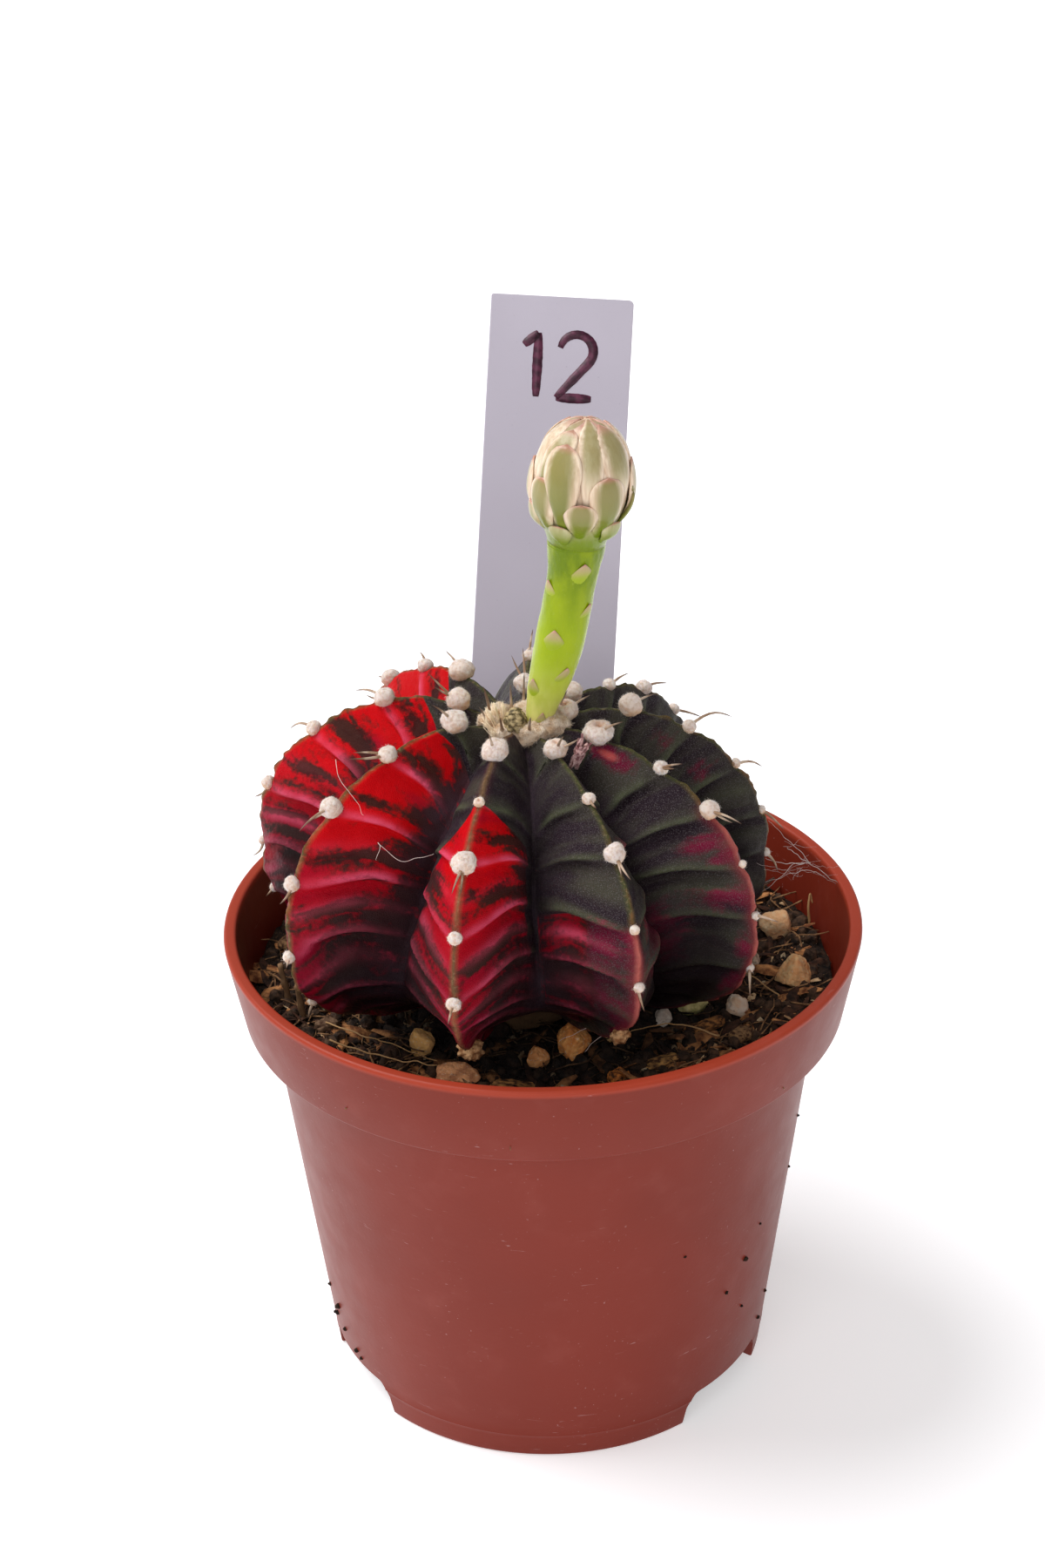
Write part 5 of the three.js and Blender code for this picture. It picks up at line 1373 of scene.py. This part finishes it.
# Tepals, from the inmost: azimuth of the foot, lean to the tip in degrees, shares of the height at
# foot and tip, half width, how far they stand off, and how green they are.
TEPALS = [
    (-83, 4, 0.15, 1.05, 1.9, 0.1, 0.75), (-22, 0, 0.15, 1.04, 1.9, 0.1, 0.7),
    (38, 4, 0.15, 1.04, 1.9, 0.1, 0.6), (98, 0, 0.15, 1.04, 1.9, 0.1, 0.6),
    (158, 0, 0.15, 1.04, 1.9, 0.1, 0.6), (-142, 12, 0.15, 1.03, 1.9, 0.1, 0.7),
    (-108, 0, 0.15, 0.99, 1.6, 0.2, 0.05), (-54, 0, 0.15, 1.0, 1.6, 0.2, 0.05),
    (8, 0, 0.15, 1.0, 1.6, 0.2, 0.05), (68, 0, 0.15, 1.0, 1.6, 0.2, 0.1),
    (128, 0, 0.15, 1.0, 1.6, 0.2, 0.1), (-172, 0, 0.15, 1.0, 1.6, 0.2, 0.1),
    (-80, -2, 0.12, 1.04, 1.35, 0.3, 0.8), (-36, -6, 0.12, 0.98, 1.9, 0.36, 0.85),
    (20, 0, 0.12, 0.97, 1.9, 0.36, 0.7), (76, 0, 0.12, 0.95, 1.9, 0.36, 0.7),
    (134, 0, 0.12, 0.95, 1.9, 0.36, 0.7), (-158, 34, 0.3, 0.95, 1.5, 0.4, 0.8),
    (-112, -8, 0.04, 0.87, 1.95, 0.6, 1.0), (-57, -4, 0.03, 0.67, 1.95, 0.55, 1.0),
    (2, 0, 0.03, 0.72, 1.9, 0.5, 0.9), (58, 0, 0.03, 0.7, 1.9, 0.5, 0.9),
    (114, 0, 0.03, 0.74, 1.9, 0.5, 0.9), (170, 0, 0.03, 0.66, 1.9, 0.5, 0.9),
    (-144, 3, 0.03, 0.61, 1.75, 0.62, 0.95), (-90, -1, 0.08, 0.47, 1.6, 0.72, 1.0),
    (-42, -2, 0.04, 0.29, 1.25, 0.66, 0.5), (28, 0, 0.08, 0.42, 1.5, 0.66, 0.75),
    (86, 0, 0.08, 0.4, 1.5, 0.66, 0.75), (142, 0, 0.08, 0.44, 1.5, 0.66, 0.75),
    (-166, 0, 0.08, 0.36, 1.4, 0.66, 0.75), (-118, 0, 0.02, 0.25, 1.2, 0.55, 0.35),
]


def bud_radius(share):
    """Radius of the bud's core: an egg on a narrow foot."""
    if share < BUD_WIDEST:
        swell = math.sin(max(share, 0) / BUD_WIDEST * math.pi / 2) ** 1.2
        return BUD_FOOT_RADIUS + (BUD_RADIUS - BUD_FOOT_RADIUS) * swell
    over = (share - BUD_WIDEST) / (1 - BUD_WIDEST)
    return BUD_RADIUS * math.sqrt(max(1 - min(over, 1) ** 2.4, 0))


def on_bud(azimuth, share, stand):
    """A point on the bud's core or standing off it; past the top the skin is carried over."""
    turn = math.radians(azimuth)
    r = bud_radius(min(share, 0.995)) + stand * (1 - 0.55 * float(smooth(0.8, 1.02, share)))
    r *= 1 - 0.5 * float(smooth(0.97, 1.04, share))
    lift = BUD_HEIGHT * min(share, 1.0) + stand * 0.75 * float(smooth(0.7, 1.0, share))
    x, y = r * math.cos(turn), r * math.sin(turn)
    upright, leaning = math.cos(BUD_LEAN), math.sin(BUD_LEAN)
    return BUD_FOOT + np.array((x * upright + lift * leaning, y, lift * upright - x * leaning))


def tepal_outline(v):
    """Half width of a tepal: narrow at the foot, widest high up, and rounded at the end."""
    blunt = max(1 - ((v - 0.74) / 0.26) ** 2.4, 0) ** 0.55 if v > 0.74 else 1.0
    return (0.42 + 0.58 * float(smooth(0.1, 0.8, v))) * blunt


core_shares = np.concatenate([np.linspace(0, 0.9, 16), [0.94, 0.97, 0.99]])
core_rings = np.array([[on_bud(a, s, 0) for a in np.arange(48) * 7.5] for s in core_shares])
core = skinned(core_rings, BUD_FOOT, on_bud(0, 1, 0) * 0.5 + on_bud(180, 1, 0) * 0.5)
tepal_parts = [core]
across_all = [np.ones(len(core[0]))]
along_all = [np.full(len(core[0]), 0.5)]
green_all = [np.zeros(len(core[0]))]
for azimuth, lean, low, high, half_width, stand, greenness in TEPALS:
    def girth(v):
        return max(bud_radius(min(low + (high - low) * v, 0.93)), 1.3)

    def stand_off(v, u):
        """How far a tepal stands off the core: it rises from its foot and is full along its middle."""
        fullness = 0.4 if stand > 0.4 else 0.16
        middle = math.sin(math.pi * min(v, 0.985)) ** 0.6 * (1 - u * u) ** 0.8
        return -0.6 + (stand + 0.5) * float(smooth(0, 0.6, v)) ** 0.8 + fullness * middle

    points, faces, across, along = blade(
        on_bud, low, high, azimuth, lean, half_width, girth, tepal_outline, stand_off, 0.4, 17, 28)
    tepal_parts.append((points, faces))
    across_all.append(across)
    along_all.append(along)
    upper_only = smooth(0.4, 0.75, along) if stand < 0.4 else 1
    green_all.append(np.full(len(points), greenness) * upper_only)

# One low tepal on the right has come away and curls back up beside the bud.
CURL_LINE = [
    (7.2, -4.4, 102.8), (8.5, -4.6, 103.9), (9.5, -4.7, 105.4), (9.75, -4.7, 106.9), (9.45, -4.7, 108.2)]
CURL_STEPS = 14
CURL_SIDES = 12
curl_shares = np.linspace(0, 1, CURL_STEPS)
curl_radii = [0.75 * (math.sin(math.pi * (0.25 + 0.7 * s)) ** 0.8) + 0.05 for s in curl_shares]
curl = limb(smooth_stations(np.array(CURL_LINE), CURL_STEPS), curl_radii, CURL_SIDES, 0.28)
tepal_parts.append(curl)
across_all.append(np.full(len(curl[0]), 0.3))
along_all.append(np.concatenate([np.repeat(curl_shares, CURL_SIDES) * 0.9, [0, 1]]))
green_all.append(np.full(len(curl[0]), 0.9))

tepal_finish = Finish("tepals", 0.28, 0.4)
across, along = tepal_finish.attribute("across"), tepal_finish.attribute("along")
vein = tepal_finish.grain(0.5, 3, stretch=(1, 1, 0.12))
edge_noise = tepal_finish.times(tepal_finish.math("SUBTRACT", vein, 0.5), 0.2)
from_middle = tepal_finish.plus(tepal_finish.math("ABSOLUTE", across), edge_noise)
band = tepal_finish.ramp(from_middle, 0.36, 0.92, 1, 0)
band = tepal_finish.times(band, tepal_finish.attribute("greenness"))
cream_tepal = tepal_finish.blend(vein, 0.35, 0.65, (222, 192, 162), (246, 222, 194))
foot_cream = tepal_finish.ramp(along, 0.3, 0.0, 0, 0.6)
cream_tepal = tepal_finish.mix(foot_cream, cream_tepal, paint(196, 176, 120))
olive = tepal_finish.blend(along, 0.25, 0.95, (122, 127, 52), (148, 138, 84))
tepal_colour = tepal_finish.mix(band, cream_tepal, olive)
foot_green = tepal_finish.ramp(tepal_finish.split(tepal_finish.place)[2], 0.1062, 0.1018, 0, 0.95)
tepal_colour = tepal_finish.mix(foot_green, tepal_colour, paint(112, 138, 0))
tip_pink = tepal_finish.ramp(along, 0.92, 1.0, 0, 0.6)
tepal_finish.colour(tepal_finish.mix(tip_pink, tepal_colour, paint(206, 128, 124)))
tepal_finish.relief(tepal_finish.plus(vein, tepal_finish.grain(1.2, 2)), 0.06)
tepal_finish.let_light_in(0.1, 0.0014, 0.001, 0.0006)
bud = make_piece("flower_bud_tepals", *gather(tepal_parts), tepal_finish, {
    "across": np.concatenate(across_all), "along": np.concatenate(along_all),
    "greenness": np.concatenate(green_all)})
settle(bud, "tepal", "flower_bud")

# ---- The dried flower: the shrivelled end of an old one, stuck in the wool on the right of the
# crown: a stub with a few twisted papery strips.

dried_low, dried_high = (np.array(corner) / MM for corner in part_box("dried_flower"))
dried_foot = np.array(((dried_low[0] * 2 + dried_high[0]) / 3, dried_high[1] - 0.6, dried_low[2] + 0.3))
dried_top = np.array((dried_high[0] - 0.5, dried_low[1] + 0.5, dried_high[2]))
DRIED_SHIFT = np.array((-1.0, -0.3, -0.5))
DRIED_STRANDS = 11
dried_parts = []
for strand in range(DRIED_STRANDS):
    start = dried_foot + random.uniform(-0.45, 0.45, 3) + DRIED_SHIFT
    end = dried_foot + DRIED_SHIFT + (dried_top - dried_foot) * random.uniform(0.55, 1.0)
    end += random.uniform(-0.7, 0.7, 3) * (1, 1, 0.5)
    shares = np.linspace(0, 1, 9)
    twist = random.uniform(-0.5, 0.5, 3)
    centres = [start + (end - start) * s + twist * math.sin(s * 7) * 0.6 * s for s in shares]
    dried_parts.append(limb(centres, [0.16 + 0.3 * math.sin(math.pi * s) for s in shares], 8, 0.3))
dried_finish = Finish("dried_petal", 0.8, 0.2)
dried_finish.colour(dried_finish.blend(
    dried_finish.grain(0.6, 4), 0.35, 0.65, (136, 86, 88), (234, 194, 190)))
dried_finish.relief(dried_finish.grain(0.3, 4), 0.15)
settle(make_piece("dried_flower_strips", *gather(dried_parts), dried_finish), "dried_petal", "dried_flower")

# ---- The plant label: a flat strip of pale lavender plastic, pointed below, pushed into the soil
# behind the plant, with a plain number drawn on it in even lines of dark ink.

LABEL_WIDTH = 17.0
LABEL_LENGTH = 100.0
LABEL_THICKNESS = 0.6
LABEL_POINT = 14.0
LABEL_FOOT = np.array((-3.3, 12.4, 17.4))
LABEL_TOP = np.array((4.1, 57.9, 106.2))
LABEL_EDGE = 0.08
EDGE_START = 0.75  # share of the half thickness where the edge begins to draw in
INK_STAND = 0.02
INK_STEPS = 26
PEN_HALF = 0.58
NUMBER_LOW = 88.0
NUMBER_HIGH = 95.6
ONE_X = -2.6
TWO_LEFT = -0.2
TWO_RIGHT = 4.0
BOW_RADIUS = 2.0
bow_turns = np.radians(np.linspace(170, -40, 9))
bow = np.stack([TWO_RIGHT - BOW_RADIUS + BOW_RADIUS * np.cos(bow_turns),
                NUMBER_HIGH - BOW_RADIUS + BOW_RADIUS * np.sin(bow_turns)], -1)
STROKES = [  # the lines of a 12, as places across and up the label
    [(ONE_X - 1.7, NUMBER_HIGH - 1.5), (ONE_X, NUMBER_HIGH)],
    [(ONE_X, NUMBER_HIGH), (ONE_X, NUMBER_LOW)],
    [*bow, *np.linspace(bow[-1], (TWO_LEFT, NUMBER_LOW), 8)[1:]],
    [(TWO_LEFT, NUMBER_LOW), (TWO_RIGHT, NUMBER_LOW)],
]
label_up = (LABEL_TOP - LABEL_FOOT) / np.linalg.norm(LABEL_TOP - LABEL_FOOT)
label_across = np.array((1.0, 0, 0)) - label_up * label_up[0]
label_across /= np.linalg.norm(label_across)
label_front = np.cross(label_across, label_up)


def on_label(across, up, out):
    """A point of the label, from its foot's middle, `out` in front of its middle plane."""
    return LABEL_FOOT + label_across * across + label_up * up + label_front * out


half = LABEL_WIDTH / 2
label_outline = rounded([
    (0, 0, 0), (half, LABEL_POINT, 1.5), (half, LABEL_LENGTH, 0.6), (-half, LABEL_LENGTH, 0.3),
    (-half, LABEL_POINT, 1.5), (0, 0, 0)])[:-1]
centre = np.array((0, LABEL_LENGTH * 0.55))
label_rings = []
for out, inset in ((-1, LABEL_EDGE), (-EDGE_START, 0), (EDGE_START, 0), (1, LABEL_EDGE)):
    ring = []
    for corner in label_outline:
        pull = (centre - corner) * (inset / half, inset / LABEL_LENGTH)
        ring.append(on_label(*(corner + pull), out * LABEL_THICKNESS / 2))
    label_rings.append(ring)
label_points, label_faces = skinned(
    np.array(label_rings), on_label(*centre, -LABEL_THICKNESS / 2), on_label(*centre, LABEL_THICKNESS / 2))
label_finish = Finish("lavender_plastic", 0.5, 0.35)
lilac = label_finish.blend(label_finish.grain(22, 2), 0.3, 0.7, (187, 180, 193), (198, 191, 204))
smudge = label_finish.ramp(label_finish.grain(0.5, 2), 0.72, 0.8, 0, 0.35)
label_finish.colour(label_finish.mix(smudge, lilac, paint(150, 140, 156)))
label_finish.relief(label_finish.grain(0.5, 3), 0.012)
settle(make_piece("label_strip", label_points, label_faces, label_finish, sharp=40), "label", "plant_label")

ink_parts = []
for stroke in STROKES:
    line = smooth_stations(np.array(stroke), INK_STEPS)
    left, right = [], []
    for i, (across, up) in enumerate(line):
        before, after = line[max(i - 1, 0)], line[min(i + 1, len(line) - 1)]
        way = (after - before) / np.linalg.norm(after - before)
        narrowing = max(math.sin(math.pi * (i + 0.6) / (len(line) + 0.2)), 0) ** 0.2
        wobble = 1 + 0.1 * noise.noise(Vector((across, up, 3)) * 2.2)
        side = np.array((-way[1], way[0])) * PEN_HALF * narrowing * wobble
        left.append((across + side[0], up + side[1]))
        right.append((across - side[0], up - side[1]))
    outline = right + left[::-1]
    ink_rings = np.array([
        [on_label(*p, LABEL_THICKNESS / 2 + out) for p in outline] for out in (-INK_STAND, INK_STAND)])
    count = len(outline)
    points = ink_rings.reshape(-1, 3)
    faces = [[i, (i + 1) % count, (i + 1) % count + count, i + count] for i in range(count)]
    steps = len(left)
    for i in range(steps - 1):
        a, b, c, d = i, i + 1, count - 2 - i, count - 1 - i
        faces.append([count + a, count + b, count + c, count + d])
        faces.append([d, c, b, a])
    ink_parts.append((points, faces))
ink_finish = Finish("aubergine_ink", 0.45, 0.4)
ink_finish.colour(ink_finish.blend(ink_finish.grain(0.9, 3), 0.35, 0.7, (52, 12, 34), (96, 40, 66)))
settle(make_piece("ink_figure", *gather(ink_parts), ink_finish), "ink")

# ---- The grit: angular stones of tan and grey gravel, half settled in the peat.

STONE_TINTS = {  # light and dark of each stone
    "grit_01": ((196, 140, 82), (120, 74, 38)), "grit_02": ((226, 196, 140), (176, 130, 80)),
    "grit_03": ((186, 132, 84), (122, 82, 50)), "grit_04": ((206, 158, 96), (140, 106, 68)),
    "grit_05": ((158, 112, 78), (96, 62, 42)), "grit_06": ((206, 204, 172), (150, 150, 112)),
    "grit_07": ((168, 158, 148), (110, 100, 92)), "grit_08": ((150, 140, 98), (96, 92, 58)),
    "grit_09": ((196, 178, 162), (140, 118, 98)), "grit_10": ((210, 172, 124), (150, 108, 72)),
    "grit_11": ((212, 178, 138), (160, 122, 88)), "grit_12": ((128, 112, 98), (82, 70, 60)),
}
PLAIN_TINT = ((196, 168, 128), (138, 108, 78))
# Every stone's colours are brightened by this, to BRIGHTEST at most: painted light on the sides that face
# the camera.
STONE_LIGHT = 1.85
BRIGHTEST = 238
FACETS = 13
FACET_SHARPNESS = 14
STONE_RISE = {"grit_01": 1.3, "grit_02": 0.6, "grit_04": 0.6}


def stone(low, high, seed):
    """A stone with rounded facets that fills a box: a ball cut by seeded planes, then pitted."""
    draw = np.random.default_rng(seed)
    points, faces = ball(5)
    planes = draw.normal(size=(FACETS, 3))
    planes /= np.linalg.norm(planes, axis=1, keepdims=True)
    reaches = draw.uniform(0.72, 1.0, FACETS)
    facing = np.clip(points @ planes.T, 1e-3, None)
    reach = np.minimum((reaches / facing), 2.0)
    nearest = np.exp(-FACET_SHARPNESS * reach).sum(1) + math.exp(-FACET_SHARPNESS * 1.15)
    radius = -np.log(nearest) / FACET_SHARPNESS
    start = Vector(draw.uniform(-40, 40, 3))
    pits = np.array([noise.fractal(start + Vector(p) * 1.7, 0.7, 2.2, 4) for p in points])
    points = points * (radius * (1 + 0.09 * pits))[:, None]
    span = points.max(0) - points.min(0)
    points = (points - (points.max(0) + points.min(0)) / 2) / span
    return (low + high) / 2 + points * (high - low), faces


for number in range(1, GRIT_COUNT + 1):
    node = f"grit_{number:02d}"
    low, high = (np.array(corner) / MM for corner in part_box(node))
    high[2] += STONE_RISE.get(node, 0.3)
    tints = STONE_TINTS.get(node, PLAIN_TINT)
    light, dark = (np.array(tint) * min(STONE_LIGHT, BRIGHTEST / max(tint)) for tint in tints)
    finish = Finish(node + "_stone", 0.8, 0.3)
    tint = finish.blend(finish.grain(0.9, 5), 0.35, 0.65, light, dark)
    tint = finish.mix(finish.ramp(finish.grain(0.28, 2), 0.6, 0.72, 0, 0.5), tint, paint(236, 222, 196))
    dirt = finish.ramp(finish.grain(0.6, 4), 0.62, 0.74, 0, 0.45)
    finish.colour(finish.mix(dirt, tint, paint(82, 60, 44)))
    finish.relief(finish.grain(0.3, 5), 0.16)
    settle(make_piece(node + "_stone", *stone(low, high, 200 + number), finish), "grit", node)

# ---- The bark and the twigs: torn chips of layered conifer bark that lie on the peat, and two
# broken twigs that stand in it at the left wall.

BARK_CHIPS = [  # length, width, height, turn, tilt; light colour
    (6.0, 1.8, 1.0, 8, 14, (186, 132, 78)), (5.4, 2.2, 1.2, 65, 10, (150, 112, 76)),
    (2.8, 2.0, 1.5, 30, 8, (120, 92, 70)), (4.6, 1.6, 1.0, 24, -8, (176, 118, 66)),
    (3.1, 1.8, 1.2, 40, 10, (160, 122, 84)), (3.9, 1.6, 1.0, 16, -10, (196, 146, 88)),
    (4.4, 2.4, 1.1, 118, 12, (140, 106, 74)), (2.4, 1.7, 1.2, 50, 6, (206, 124, 58)),
]


def chip(centre, length, width, height, turn, tilt, seed):
    """A torn chip: a flat slab, layered along its length, with ragged ends."""
    draw = np.random.default_rng(seed)
    turned_round = Matrix.Rotation(math.radians(turn), 3, "Z")
    axes = (turned_round @ Matrix.Rotation(math.radians(tilt), 3, "Y")).transposed()
    start = Vector(draw.uniform(-30, 30, 3))
    rows, sides = 30, 28
    rings = []
    for v in np.linspace(-1, 1, rows):
        ring = []
        for a in np.arange(sides) * 2 * math.pi / sides:
            y = math.copysign(abs(math.cos(a)) ** 0.5, math.cos(a))
            z = math.copysign(abs(math.sin(a)) ** 0.6, math.sin(a))
            grooves = noise.fractal(start + Vector((v * 0.6, y * 3.2, z * 3)), 0.6, 2.2, 4)
            ragged = 1 + 0.22 * noise.noise(start + Vector((y * 4, z * 3, 0.5)))
            slim = (1 - abs(v) ** 6) ** 0.5 * (1 + 0.25 * noise.noise(start + Vector((v * 2.2, 0, 0))))
            thick = z * slim * height / 2 * (1 + 0.5 * grooves)
            ring.append((v * ragged * length / 2, y * slim * width / 2, thick))
        rings.append(ring)
    points, faces = skinned(np.array(rings), rings[0][0], rings[-1][0])
    points[-2] = np.mean(rings[0], 0)
    points[-1] = np.mean(rings[-1], 0)
    return np.asarray(centre) + points @ np.array(axes), faces


for number, (length, width, height, turn, tilt, light) in enumerate(BARK_CHIPS, 1):
    node = f"bark_{number:02d}"
    low, high = (np.array(corner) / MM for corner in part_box(node))
    finish = Finish(node + "_chip", 0.85, 0.25)
    way = math.radians(turn)
    fibre = finish.grain(0.7, 5, stretch=(0.5 + abs(math.sin(way)), 0.5 + abs(math.cos(way)), 2.0))
    finish.colour(finish.blend(fibre, 0.36, 0.64, (72, 46, 30), light))
    finish.relief(fibre, 0.3)
    points, faces = chip((low + high) / 2, length, width, height, turn, tilt, 400 + number)
    settle(make_piece(node + "_chip", points, faces, finish), "bark", node)

noise.seed_set(5)  # without a seed, noise_vector differs in each run
twig_finish = Finish("twig_bark", 0.85, 0.25)
twig_finish.colour(twig_finish.mix(
    twig_finish.grain(0.8, 5, stretch=(1, 1, 0.3)), paint(84, 60, 42), paint(168, 130, 94)))
twig_finish.relief(twig_finish.grain(0.4, 4, stretch=(1, 1, 0.3)), 0.15)
for node, lean in (("twig_01", -9), ("twig_02", -6)):
    low, high = (np.array(corner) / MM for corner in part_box(node))
    middle = (low + high) / 2
    reach = math.tan(math.radians(lean)) * (high[2] - low[2]) / 2
    shares = np.linspace(-1, 1, 16)
    rise = (high[2] - low[2]) / 2
    centres = [(middle[0] + reach * s, middle[1], middle[2] + rise * s) for s in shares]
    radii = [0.36 + 0.08 * noise.noise(Vector((s * 3, lean, 0))) - 0.1 * max(s, 0) for s in shares]
    points, faces = limb(centres, radii, 14)
    start = Vector((lean, 3, 1))
    for point in points:
        point += np.array(noise.noise_vector(start + Vector(point) * 1.5)) * 0.1
    settle(make_piece(node + "_stick", points, faces, twig_finish), "twig", node)

# ---- The last traces: long roots and moss threads on the soil, a cobweb between the plant and the
# pot's wall, a few loose hairs on the skin, and crumbs of soil stuck to the pot.

THREADS = [  # points of each thread, its radius, its colour group
    ([(-23.6, -10.4, 48.4), (-20, -13.4, 48.8), (-15.5, -16.2, 48.9), (-11.5, -18.6, 48.6)], 0.09, "root"),
    ([(-22.8, -16.6, 50.2), (-19.6, -18.4, 50.0), (-15.6, -19.8, 49.6), (-11.4, -20.6, 49.4)], 0.1, "root"),
    ([(18.6, -13.4, 47.6), (14.6, -12.0, 48.2), (10.6, -12.4, 48.2), (7.4, -13.6, 47.8)], 0.09, "root"),
    ([(25.6, -6.4, 48.0), (22.6, -4.4, 49.4), (20.2, -1.2, 49.6)], 0.08, "root"),
    ([(30.2, 8.6, 47.8), (30.2, 9.0, 50.2), (30.5, 9.7, 51.3), (30.7, 9.3, 50.4)], 0.16, "root"),
    ([(33.3, 6.1, 54.6), (28.6, 1.6, 60.2), (25.6, -0.8, 59.4), (23.2, -1.4, 57.6)], 0.045, "web"),
    ([(29.6, 3.0, 59.2), (27.6, 0.6, 61.8), (26.6, -0.8, 63.4)], 0.05, "web"),
    ([(29.6, 3.0, 59.2), (26.6, 1.2, 63.6), (24.6, 0.6, 66.0)], 0.04, "web"),
    ([(28.8, 2.0, 59.8), (26.0, -0.6, 61.4), (24.2, -1.2, 62.4)], 0.05, "web"),
    ([(33.2, 6.6, 54.2), (29.8, 2.6, 58.4), (27.2, -1.2, 60.4), (24.2, -2.0, 59.8)], 0.035, "web"),
    ([(-20.6, -15.6, 83.0), (-20.0, -16.4, 80.6), (-18.4, -16.8, 78.4), (-18.0, -17.2, 77.4)],
     0.028, "hair"),
    ([(-16.6, -18.6, 75.0), (-14.4, -18.8, 73.0), (-11.0, -18.6, 73.6)], 0.028, "hair"),
    ([(-16.4, -18.7, 74.8), (-16.8, -19.0, 73.2)], 0.028, "hair"),
    ([(4.0, -18.8, 49.4), (5.6, -19.4, 51.6), (7.6, -18.6, 52.0), (8.4, -17.8, 50.6)], 0.028, "hair"),
    ([(1.4, -17.8, 50.2), (4.6, -18.6, 52.4), (6.4, -17.6, 52.6)], 0.025, "hair"),
]
THREAD_STEPS = 26
THREAD_WANDER = 0.25
WEB_PLACES = [
    (26.5, -0.5, 60.8), (28.6, 1.8, 59.6), (29.8, 3.4, 58.6), (27.6, 0.4, 62.4), (30.6, 4.4, 57.2),
    (25.2, -1.2, 60.4)]
for place in WEB_PLACES * 2:  # two fine threads at each place
    middle = np.array(place) + random.uniform(-1.0, 1.0, 3)
    reach = np.array((2.1, 1.8, -1.1)) * random.uniform(0.5, 1.3) + random.uniform(-0.9, 0.9, 3)
    sag = random.uniform(-0.3, 0.3, 3)
    THREADS.append(([middle - reach, middle + sag, middle + reach * 0.9], 0.015, "web"))
THREAD_TINTS = {"root": ((150, 108, 66), (206, 166, 116)), "web": ((170, 146, 140), (206, 192, 188)),
                "hair": ((222, 188, 176), (246, 230, 224))}
for group, (first, second) in THREAD_TINTS.items():
    finish = Finish(group + "_threads", 0.6, 0.3)
    finish.colour(finish.mix(finish.grain(2, 3), paint(*first), paint(*second)))
    parts = []
    for line, radius, kind in THREADS:
        if kind == group:
            centres = smooth_stations(np.array(line, dtype=float), THREAD_STEPS)
            for centre in centres[1:-1]:
                centre += np.array(noise.noise_vector(Vector(centre) * 0.7)) * THREAD_WANDER
            shares = np.linspace(0, 1, THREAD_STEPS)
            parts.append(limb(centres, [radius * (1.1 - 0.6 * s) for s in shares], 6))
    slot = "bark" if group == "root" else "wool"
    settle(make_piece(group + "_threads", *gather(parts), finish), slot)

STUCK_CRUMBS = [  # azimuth and height on the pot's outside, size
    (-38, 20.5, 0.42), (-44, 17.4, 0.3), (-59, 26.5, 0.22), (-33, 24.0, 0.2), (-36, 13.0, 0.24),
    (-158, 9.6, 0.5), (-161, 7.6, 0.42), (-156, 6.8, 0.36), (-164, 10.8, 0.34), (-150, 5.6, 0.4),
    (-148, 5.0, 0.3), (-166, 6.0, 0.3), (-22, 6.6, 0.34), (-18, 9.2, 0.3), (-15, 33.0, 0.24),
    (-14, 25.6, 0.26), (-12, 40.4, 0.22), (60, 12, 0.34), (112, 22, 0.3), (150, 9, 0.4), (20, 30, 0.26),
]
STUCK_SHARE = 0.76  # how much of the size given each crumb has
stuck_parts = []
for azimuth, z, size in STUCK_CRUMBS:
    turn = math.radians(azimuth)
    size *= STUCK_SHARE
    out = FOOT_RADIUS + taper * z + size * 0.15
    centre = (out * math.cos(turn), out * math.sin(turn), z)
    stuck_parts.append(lump(centre, UPRIGHT, (size, size * 0.9, size * 0.8), 3, 0.5, 0.6)[:2])
settle(make_piece("stuck_crumbs", *gather(stuck_parts), soil_finish), "soil")

# ---- What the model measures once it is dressed, as a box in metres.

low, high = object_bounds()
